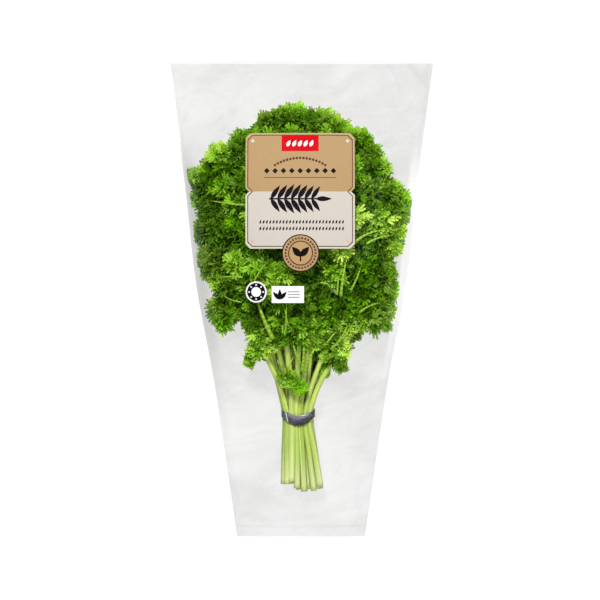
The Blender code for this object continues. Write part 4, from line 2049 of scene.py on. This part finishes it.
@dataclass
class RubberBand:
    """A flat rubber band stretched round the stems, sagging in front and folded at the left.

    Attributes:
        ease: How far the band stands off the stems in front and behind.
        stem_radius: The radius of the outermost stems that it lies on.
        squareness: How square its path round them is, 2 for an ellipse.
        sag: How much lower its middle hangs in front than its ends.
        rise: How much higher than the middle of the frame's band its ends are.
        narrowing: How much narrower it is at its ends in front.
        ripple: How far its edges curl in front.
        fold_place: x of the fold, from the bundle's middle.
        fold_slant: How far the fold leans, as a share of its length.
    """

    plan: BunchPlan
    width: float = 0.0074
    thickness: float = 0.0008
    ease: float = 0.0008
    stem_radius: float = 0.00185
    squareness: float = 4.5
    steps: int = 120
    sag: float = 0.0050
    rise: float = 0.0029
    narrowing: float = 0.52
    ripple: float = 0.00035
    rounding: float = 0.00025
    fold_place: float = -0.0082
    fold_slant: float = 0.25
    fold_height: float = 0.0016
    fold_width: float = 0.0007

    def make(self, finish: Paint) -> Part:
        """Models the band.

        Args:
            finish: The rubber.

        Returns:
            The band.
        """
        pitch, layers = self.plan.stem_pitch, self.plan.layer_counts
        half_x = (max(layers) - 1) / 2 * pitch + self.stem_radius
        half_z = (len(layers) - 1) / 2 * pitch + self.stem_radius + self.ease
        middle_z = self.plan.lowest_stem + (len(layers) - 1) / 2 * pitch
        Bench.clear_selection()
        bpy.ops.mesh.primitive_cylinder_add(
            vertices=self.steps, radius=1.0, depth=self.width, end_fill_type="NOTHING",
            location=(0, 0, 0), rotation=(math.pi / 2, 0, 0),
        )
        band = bpy.context.object
        bpy.ops.object.transform_apply(location=True, rotation=True)
        Bench.edit(band)
        Bench.pick_edges(band, lambda e: abs(e.verts[0].co.y - e.verts[1].co.y) > self.width / 2)
        bpy.ops.mesh.subdivide(number_cuts=5)
        Bench.close()
        points = Bench.points_of(band)
        turn = np.arctan2(points[:, 2], points[:, 0])
        across, up = np.cos(turn), np.sin(turn)
        power = 2 / self.squareness
        x = half_x * np.sign(across) * np.abs(across) ** power
        z = middle_z + half_z * np.sign(up) * np.abs(up) ** power
        in_front = np.clip(up, 0, 1) ** 0.5
        off = np.abs(x / half_x)
        along = points[:, 1] * (1 - self.narrowing * off**2.5 * np.clip(up + 0.6, 0, 1))
        y = self.plan.band_y + self.rise + along - self.sag * (1 - off**2) * in_front
        across_fold = x - self.fold_place + along * self.fold_slant
        fold = np.exp(-((across_fold / self.fold_width) ** 2)) * in_front
        ripple = in_front * self.ripple * np.cos(along / self.width * math.pi * 2)
        z = z + fold * self.fold_height + ripple
        Bench.set_points(band, np.stack([x + self.plan.bundle_x, y, z], axis=1))
        Bench.select_only([band])
        wall = band.modifiers.new("wall", "SOLIDIFY")
        wall.thickness, wall.offset = self.thickness, 1.0
        round_off = band.modifiers.new("round", "BEVEL")
        round_off.width, round_off.segments = self.rounding, 2
        round_off.limit_method = "ANGLE"
        for modifier in ("wall", "round"):
            bpy.ops.object.modifier_apply(modifier=modifier)
        self._mark_crest(band, half_x, middle_z)
        band.data.shade_smooth()
        Bench.set_in_frame(band, "stretched_band", [finish])
        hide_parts("rubber_band")
        return band

    def _mark_crest(self, band: Part, half_x: float, middle_z: float) -> None:
        """Writes how near each point is to the fold's crest, from 0 to 1, where the rubber has a
        painted highlight.

        Args:
            band: The band.
            half_x: Half the width of its path.
            middle_z: The height of its middle.
        """
        x, y, z = Bench.points_of(band).T
        x = x - self.plan.bundle_x
        along = y - self.plan.band_y - self.rise + self.sag * (1 - (x / half_x) ** 2)
        apart = (x - self.fold_place + along * self.fold_slant) / self.fold_width
        crest = np.where(z > middle_z, np.exp(-(apart**2)), 0.0)
        layer = band.data.attributes.new("crest", "FLOAT", "POINT")
        layer.data.foreach_set("value", crest.astype(np.float32))


# --- The sleeve and its print ---


class Side(Enum):
    """The sleeve's two films."""

    FRONT = "front"
    BACK = "back"


@dataclass
class Sleeve:
    """The clear sleeve: two films welded along their sides, with the creases of a handled bag.

    Attributes:
        taut: x and y of the middle of the stretch that is pulled smooth, and its reach.
    """

    form: SleeveForm
    columns: int = 110
    rows: int = 190
    crease_depth: float = 0.0011
    taut: Point = (-0.0006, 0.060, 0.075)

    def creases(self, x: Array, y: Array, seed: float) -> Array:
        """How far the film stands off its smooth form.

        Args:
            x: Places across the sleeve.
            y: Places along it.
            seed: Each film's own.

        Returns:
            The heights, about zero.
        """
        rows = np.stack([x, y], axis=1)
        heights = np.empty(len(rows))
        for i, (u, v) in enumerate(rows):
            warp = noise.noise(Vector((u * 14 + seed, v * 14, 0.0))) * 0.55
            broad = noise.noise(Vector((u * 26 + warp * 2, v * 11 + seed, 3.1)))
            fine = noise.noise(Vector((u * 70 + warp * 4, v * 42 - seed, 7.7)))
            heights[i] = 0.65 * (1 - 2 * abs(broad)) + 0.35 * (1 - 2 * abs(fine)) - 0.45
        return heights * self.crease_depth

    def front_surface(self, x: Array, y: Array) -> Array:
        """Height of the front film's outer side, creases and all.

        Args:
            x: Places across the sleeve.
            y: Places along it.

        Returns:
            The height at each place.
        """
        middle_x, middle_y, reach = self.taut
        free = np.clip((1 - np.abs(x) / self.form.half_width(y)) / 0.12, 0, 1)
        apart = np.hypot(x - middle_x, y - middle_y) / reach
        free = free * np.clip(1.2 - np.exp(-(apart**4)), 0.2, 1.0)
        return self.form.front_height(x, y) + self.form.film / 2 + self.creases(x, y, 1.7) * free

    def film(self, side: Side, finish: Paint) -> Part:
        """Models one film.

        Args:
            side: Which film.
            finish: The film's material.

        Returns:
            The film.
        """
        film = Bench.grid(self.columns, self.rows, (0.0, 0.0), (1.0, 1.0))
        flat = Bench.points_of(film)
        y = flat[:, 1] * self.form.length
        share = np.sin(flat[:, 0] * math.pi)
        x = self.form.half_width(y) * share
        if side is Side.FRONT:
            z = self.front_surface(x, y)
        else:
            stand = self.creases(x, y, 9.2) * np.clip((1 - np.abs(share)) / 0.12, 0, 1)
            z = np.maximum(self.form.back_height(x, y) + self.form.film / 2 + 0.35 * stand, 0.00008)
        Bench.set_points(film, np.stack([x, y, z], axis=1))
        Bench.edit(film, FACES, "SELECT")
        bpy.ops.mesh.normals_make_consistent(inside=False)
        Bench.close()
        if (film.data.polygons[0].normal.z > 0) != (side is Side.FRONT):
            film.data.flip_normals()
        Bench.set_map(film, "film", share / 2 + 0.5, flat[:, 1] + 0.5)
        film.data.shade_smooth()
        Bench.set_in_frame(film, f"{side.value}_film", [finish])
        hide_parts(f"sleeve_{side.value}_film")
        return film

    def make(self, finish: FilmFinish, leaves: list[str]) -> None:
        """Args:
            finish: The films' finish.
            leaves: The pieces that the front film rests on. Not used.
        """
        front = self.film(Side.FRONT, finish.make("clear_front"))
        back = self.film(Side.BACK, finish.make("clear_back"))


@dataclass
class PrintedLabel:
    """The print on the front film: two joined panels, a badge and two small marks, all unlettered.

    Attributes:
        middle: x of its middle. All other places are from there.
        top: y of the upper panel's upper edge.
        junction: y of where the panels meet.
        bottom: y of the lower panel's lower edge.
        edge: How wide the panels' pale edge is.
        line: How wide the line inside it is.
        notch: The chamfer of the corners where the panels meet.
        lift: How far above the film the lowest ink lies.
        layer: How far apart the layers of ink are.
    """

    sleeve: Sleeve
    middle: float = -0.0006
    half_width: float = 0.0381
    top: float = 0.1168
    junction: float = 0.0755
    bottom: float = 0.0357
    chamfer: float = 0.0033
    edge: float = 0.0013
    line: float = 0.00060
    notch: float = 0.0025
    lift: float = 0.00025
    layer: float = 0.00008
    inks: dict[Ink, Paint] = field(default_factory=dict)

    def _drape(self, part: Part, name: str, level: int, ink: Ink) -> Part:
        """Lays a flat part on the front film.

        Args:
            part: A flat part, in its place from above.
            name: The piece's name, without "print_".
            level: Its layer of ink, 0 lowest.
            ink: Its ink.

        Returns:
            The piece.
        """
        points = Bench.points_of(part)
        x, y = points[:, 0] + self.middle, points[:, 1]
        z = self.sleeve.front_surface(x, y) + self.lift + level * self.layer
        Bench.set_points(part, np.stack([x, y, z], axis=1))
        if part.data.polygons[0].normal.z < 0:
            part.data.flip_normals()
        part.data.shade_smooth()
        if ink not in self.inks:
            self.inks[ink] = ink.value.make(f"ink_{ink.name.lower()}")
        return Bench.set_in_frame(part, f"print_{name}", [self.inks[ink]])

    @staticmethod
    def _panel(half: float, low: float, high: float, cuts: Spot) -> Part:
        """A flat panel with chamfered corners.

        Args:
            half: Half its width.
            low: Its lower edge.
            high: Its upper edge.
            cuts: The chamfer of its lower corners and of its upper ones.

        Returns:
            The panel, a grid fine enough to lie on the film.
        """
        panel = Bench.grid(40, 24, (0.0, (low + high) / 2), (2 * half, high - low))
        Bench.edit(panel, FACES)
        for sx in (-1, 1):
            for sy, y, cut in ((-1, low, cuts[0]), (1, high, cuts[1])):
                bpy.ops.mesh.select_all(action="SELECT")
                corner = (sx * (half - cut), y, 0)
                bpy.ops.mesh.bisect(plane_co=corner, plane_no=(sx, sy, 0), clear_outer=True)
        Bench.close()
        return panel

    @staticmethod
    def _disc(x: float, y: float, radius: float) -> Part:
        """A flat disc, with more faces if it is a large one.

        Args:
            x: x of its middle.
            y: y of its middle.
            radius: Its radius.

        Returns:
            The disc.
        """
        Bench.clear_selection()
        bpy.ops.mesh.primitive_circle_add(
            vertices=64, radius=radius, fill_type="TRIFAN", location=(x, y, 0)
        )
        disc = bpy.context.object
        bpy.ops.object.transform_apply(location=True)
        Bench.edit(disc, FACES, "SELECT")
        if radius > 0.003:
            bpy.ops.mesh.subdivide(number_cuts=3)
        Bench.close()
        return disc

    @staticmethod
    def _bar(x: float, y: float, width: float, height: float) -> Part:
        """A flat bar, fine enough to lie on the film."""
        return Bench.grid(24, 6, (x, y), (width, height))

    @staticmethod
    def _leaf(length: float, width: float) -> Part:
        """A flat pointed leaf, growing along +X from the origin.

        Args:
            length: How long it is.
            width: How wide it is.

        Returns:
            The leaf.
        """
        leaf = Bench.grid(12, 4, (0.5, 0.0), (1.0, 1.0))
        points = Bench.points_of(leaf)
        body = np.sin(np.pi * np.clip(points[:, 0], 0.01, 0.99) ** 0.8)
        points[:, 1] *= body * width
        points[:, 0] *= length
        Bench.set_points(leaf, points)
        return leaf

    @staticmethod
    def _lozenge(reach: float) -> Part:
        """A flat lozenge about the origin.

        Args:
            reach: How far its corners are from there.

        Returns:
            The lozenge.
        """
        Bench.clear_selection()
        bpy.ops.mesh.primitive_circle_add(vertices=4, radius=reach, fill_type="NGON")
        lozenge = bpy.context.object
        Bench.edit(lozenge, VERTS, "SELECT")
        bpy.ops.mesh.bevel(offset=reach * 0.15, segments=2, affect="VERTICES")
        Bench.close()
        return lozenge

    @staticmethod
    def _set_out(pattern: Part, places: list[tuple[float, ...]]) -> Part:
        """Copies a flat part to many places and joins the copies.

        Args:
            pattern: The part, modelled about the origin.
            places: Each copy's x and y, then its turn in degrees and its scale if it has them.

        Returns:
            The joined copies.
        """
        points = Bench.points_of(pattern)
        copies = []
        for place in places:
            x, y, turn, scale = (*place, *(0.0, 1.0)[len(place) - 2 :])
            cos, sin = (f(math.radians(turn)) * scale for f in (math.cos, math.sin))
            across = x + points[:, 0] * cos - points[:, 1] * sin
            along = y + points[:, 0] * sin + points[:, 1] * cos
            copies.append(Bench.copy_of(pattern))
            Bench.set_points(copies[-1], np.column_stack([across, along, points[:, 2]]))
        bpy.data.objects.remove(pattern, do_unlink=True)
        return Bench.join(copies)

    def _dots(self, spots: list[Spot], radius: float) -> Part:
        """Small round dots at many spots."""
        return self._set_out(self._disc(0.0, 0.0, radius), spots)

    def _ring(self, x: float, y: float, reach: float, count: int, radius: float) -> Part:
        """A ring of small round dots.

        Args:
            x: x of its middle.
            y: y of its middle.
            reach: How far from there the dots are.
            count: How many dots.
            radius: The radius of a dot.

        Returns:
            The dots.
        """
        turns = [2 * math.pi * k / count for k in range(count)]
        spots = [(x + reach * math.cos(a), y + reach * math.sin(a)) for a in turns]
        return self._dots(spots, radius)

    def panels(self) -> None:
        """Prints the two panels with their pale edges and the fine line inside."""
        half, cut = self.half_width, self.chamfer
        upper = self._panel(half, self.junction, self.top, (self.notch, cut))
        lower = self._panel(half, self.bottom, self.junction, (cut, self.notch))
        self._drape(upper, "kraft_edge", 0, Ink.KRAFT_EDGE)
        self._drape(lower, "cream_edge", 0, Ink.CREAM_EDGE)
        for level, inset, name in ((1, self.edge, "_line"), (2, self.edge + self.line, "")):
            half = self.half_width - inset
            slant = (inset - self.edge) * 0.41
            flush, corner = self.notch + 0.0006 + slant, cut - slant
            upper = self._panel(half, self.junction, self.top - inset, (flush, corner))
            lower = self._panel(half, self.bottom + inset, self.junction, (corner, flush))
            self._drape(upper, f"kraft{name}", level, Ink.KRAFT if level == 2 else Ink.BROWN)
            self._drape(lower, f"cream{name}", level, Ink.CREAM if level == 2 else Ink.BROWN)
        for name, y, radius, ink in (
            ("upper_dots", 0.1112, 0.0012, Ink.CREAM_EDGE),
            ("lower_dots", 0.0410, 0.0010, Ink.ROSE),
        ):
            self._drape(self._dots([(-0.0331, y), (0.0331, y)], radius), name, 3, ink)

    def ornaments(self) -> None:
        """Prints the panels' plain ornaments."""
        self._drape(self._bar(0.0, 0.1094, 0.0258, 0.0112), "tab", 3, Ink.RED)
        leaves = [(x, 0.1072, 62) for x in (-0.0092, -0.0052, -0.0012, 0.0028, 0.0068)]
        self._drape(self._set_out(self._leaf(0.0050, 0.0025), leaves), "tab_leaves", 4, Ink.WHITE)
        turns = [math.radians(a) for a in range(-32, 33, 4)]
        arc = [(0.0330 * math.sin(a), 0.0660 + 0.0330 * math.cos(a)) for a in turns]
        self._drape(self._dots(arc, 0.0009), "arc_dots", 3, Ink.BROWN)
        row = [(0.0058 * k, 0.0900) for k in range(-4, 5)]
        self._drape(self._set_out(self._lozenge(0.0020), row), "lozenges", 3, Ink.DARK)
        self._drape(self._bar(0.0, 0.0852, 0.0500, 0.0004), "rule", 3, Ink.BROWN)
        self._drape(self._sprig(0.0704, 0.0410), "sprig", 3, Ink.DARK)
        rows = [(0.0023 * k - 0.0005, y, 72) for y in (0.0530, 0.0484) for k in range(-12, 14)]
        self._drape(self._set_out(self._leaf(0.0029, 0.0012), rows), "seeds", 3, Ink.DARK)

    def _sprig(self, y: float, length: float) -> Part:
        """A flat lying sprig of leaf pairs on a straight stem.

        Args:
            y: The height of its middle.
            length: How long it is.

        Returns:
            The sprig.
        """
        middle = -0.0040
        stem = self._bar(middle, y, length * 0.86, 0.0010)
        places = []
        for k in range(7):
            x = length * (-0.40 + 0.115 * k) + middle
            places += [(x, y, turn, 1.0 - 0.045 * abs(k - 2.5)) for turn in (56, -56)]
        places.append((length * 0.36 + middle, y, 0.0, 0.9))
        return Bench.join([stem, self._set_out(self._leaf(0.0126, 0.0038), places)])

    def badge(self) -> None:
        """Prints the round badge with a ring of dots and a two-leafed sprout."""
        x, y, radius, rim = 0.0003, 0.0326, 0.0131, 0.0008
        self._drape(self._disc(x, y, radius), "badge_rim", 3, Ink.DARK)
        self._drape(self._disc(x, y, radius - rim), "badge", 4, Ink.KRAFT)
        self._drape(self._ring(x, y, 0.0104, 30, 0.00072), "badge_dots", 5, Ink.BROWN)
        self._drape(self._disc(x, y, 0.0087), "badge_ring", 5, Ink.BROWN)
        self._drape(self._disc(x, y, 0.0079), "badge_middle", 6, Ink.TAN)
        self._drape(self._bar(x, y - 0.0036, 0.0010, 0.0040), "badge_stalk", 7, Ink.DARK)
        pair = self._set_out(self._leaf(0.0088, 0.0044), [(x, y - 0.0022, a) for a in (48, 132)])
        self._drape(pair, "badge_leaf", 8, Ink.DARK)

    def marks(self) -> None:
        """Prints the two small plain marks under the label."""
        x, y = -0.0307, 0.0056
        self._drape(self._disc(x, y, 0.0074), "round_mark", 2, Ink.WHITE)
        self._drape(self._disc(x, y, 0.0063), "round_ring", 3, Ink.DARK)
        self._drape(self._disc(x, y, 0.0034), "round_middle", 4, Ink.WHITE)
        self._drape(self._ring(x, y, 0.0049, 8, 0.00058), "round_beads", 4, Ink.WHITE)
        x, y = -0.0086, 0.0038
        self._drape(self._bar(x, y, 0.0226, 0.0118), "oblong_mark", 2, Ink.WHITE)
        leaves = [(x - 0.0056, y - 0.0034, turn) for turn in (48, 90, 132)]
        self._drape(self._set_out(self._leaf(0.0072, 0.0028), leaves), "oblong_leaf", 3, Ink.DARK)
        rows = [(x + 0.0042, y + 0.0012 * k) for k in (-1.6, 0.0, 1.6)]
        lines = self._set_out(self._bar(0.0, 0.0, 0.0080, 0.0006), rows)
        self._drape(lines, "oblong_lines", 3, Ink.GREY)

    def make(self) -> None:
        """Prints the label, layer by layer."""
        self.panels()
        self.ornaments()
        self.badge()
        self.marks()


# --- The studio ---


@dataclass
class Studio:
    """A plain pale floor, soft even light and a camera straight above.

    Attributes:
        view_width: How wide the camera's view is.
        view_height: The height at which it is that wide.
        drop: How far below the bunch the floor lies.
        surround: How bright the even white surround is.
        sensor: The width of the camera's sensor, in millimetres.
    """

    camera_height: float = 1.808
    view_width: float = 0.4304
    view_height: float = 0.008
    view_middle: Spot = (-0.0007, 0.0)
    floor_width: float = 8.0
    drop: float = 0.0002
    glow: float = 0.92
    surround: float = 0.14
    sensor: float = 36.0

    def floor(self) -> Part:
        """Lays the floor just under the sleeve.

        Returns:
            The floor.
        """
        Bench.clear_selection()
        bpy.ops.mesh.primitive_plane_add(size=self.floor_width, location=(0, 0, -self.drop))
        floor = bpy.context.object
        floor.name = "floor"
        s = Shading("floor_paint")
        mottle = s.stretch(s.grain(3.0), 0.3, 0.7)
        paint = s.skin(s.blend((0.095, 0.095, 0.095), (0.105, 0.105, 0.105), mottle), 0.9)
        glow = s.add("ShaderNodeEmission", {"Color": (1, 1, 1, 1), "Strength": self.glow})
        both = s.add("ShaderNodeAddShader", {0: paint, 1: glow.outputs[0]})
        floor.data.materials.append(s.done(both.outputs[0]))
        return floor

    def _lamp(
        self, name: str, place: Point, size: float, power: float, mirrored: bool = True
    ) -> None:
        """Hangs one soft lamp that faces the bunch.

        Args:
            name: The lamp's name.
            place: Where it hangs.
            size: How wide it is.
            power: Its power in watts.
            mirrored: Whether shiny surfaces mirror it.
        """
        lamp = bpy.data.lights.new(name, "AREA")
        lamp.shape, lamp.size, lamp.energy = "DISK", size, power
        holder = Bench.put(name, lamp)
        holder.location = place
        holder.rotation_euler = (-Vector(place)).to_track_quat("-Z", "Y").to_euler()
        holder.visible_glossy = mirrored

    def light(self) -> None:
        """Hangs the lamps and fills in with an even white surround."""
        self._lamp("key", (-0.20, 0.85, 1.30), 0.45, 33.0)
        self._lamp("fill", (0.95, 0.10, 1.20), 0.9, 9.5)
        self._lamp("low", (0.0, -1.0, 0.90), 0.8, 7.5, mirrored=False)
        world = bpy.data.worlds.new("surround")
        world.use_nodes = True
        back = world.node_tree.nodes["Background"]
        back.inputs["Color"].default_value = (1.0, 1.0, 1.0, 1.0)
        back.inputs["Strength"].default_value = self.surround
        bpy.context.scene.world = world

    def camera(self) -> None:
        """Sets up the camera straight above the bunch."""
        lens = bpy.data.cameras.new("camera")
        lens.sensor_width = self.sensor
        lens.lens = self.sensor * (self.camera_height - self.view_height) / self.view_width
        lens.clip_start, lens.clip_end = 0.05, 20.0
        holder = Bench.put("camera", lens)
        holder.location = (*self.view_middle, self.camera_height)
        bpy.context.scene.camera = holder
        bpy.context.scene.view_settings.view_transform = "Standard"


def main() -> None:
    """Builds the bunch, its sleeve and the studio."""
    logging.basicConfig(level=logging.INFO, format="%(message)s")
    sleeve = SleeveForm()
    plan = BunchPlan(sleeve)
    places = plan.leaves()
    StemBundle(plan).lay(places, StemFinish())

    foliage = Foliage(sleeve, LeafFinish().make("leaf_blade"), StalkFinish().make("leaf_stalk"))
    foliage.model_patterns()
    nodes = [f"leaf_{place.number:02d}" for place in places] + ["sprig_left", "sprig_right"]
    for node in nodes[-2:]:
        low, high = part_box(node)
        middle = (low + high) / 2
        foot = middle + (Vector(plan.neck) - middle).normalized() * 0.010
        places.append(LeafPlace(len(places) + 1, middle, foot, []))
    shares = foliage.share_out(Crown(sleeve).fronds(np.random.default_rng(HEAD_SEED)), places)
    pieces = []
    for node, place, share, bare in zip(nodes, places, shares, foliage.share_petioles(places)):
        leaf = foliage.grow(node, place, share, bare, LEAF_SEED + place.number)
        pieces.append(leaf.name)
    low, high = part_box("sprig_front")
    middle = (low + high) / 2
    place = LeafPlace(len(places) + 1, middle, Vector((middle.x, high.y, low.z)), [])
    share = foliage.sprig_fronds(low, high, 4, np.random.default_rng(SPRIG_SEED))
    pieces.append(foliage.grow("sprig_front", place, share, [], SPRIG_SEED).name)

    RubberBand(plan).make(RubberFinish().make("band_rubber"))
    bag = Sleeve(sleeve)
    bag.make(FilmFinish(), pieces)
    PrintedLabel(bag).make()

    studio = Studio()
    studio.floor()
    studio.light()
    studio.camera()


if __name__ == "__main__":
    main()
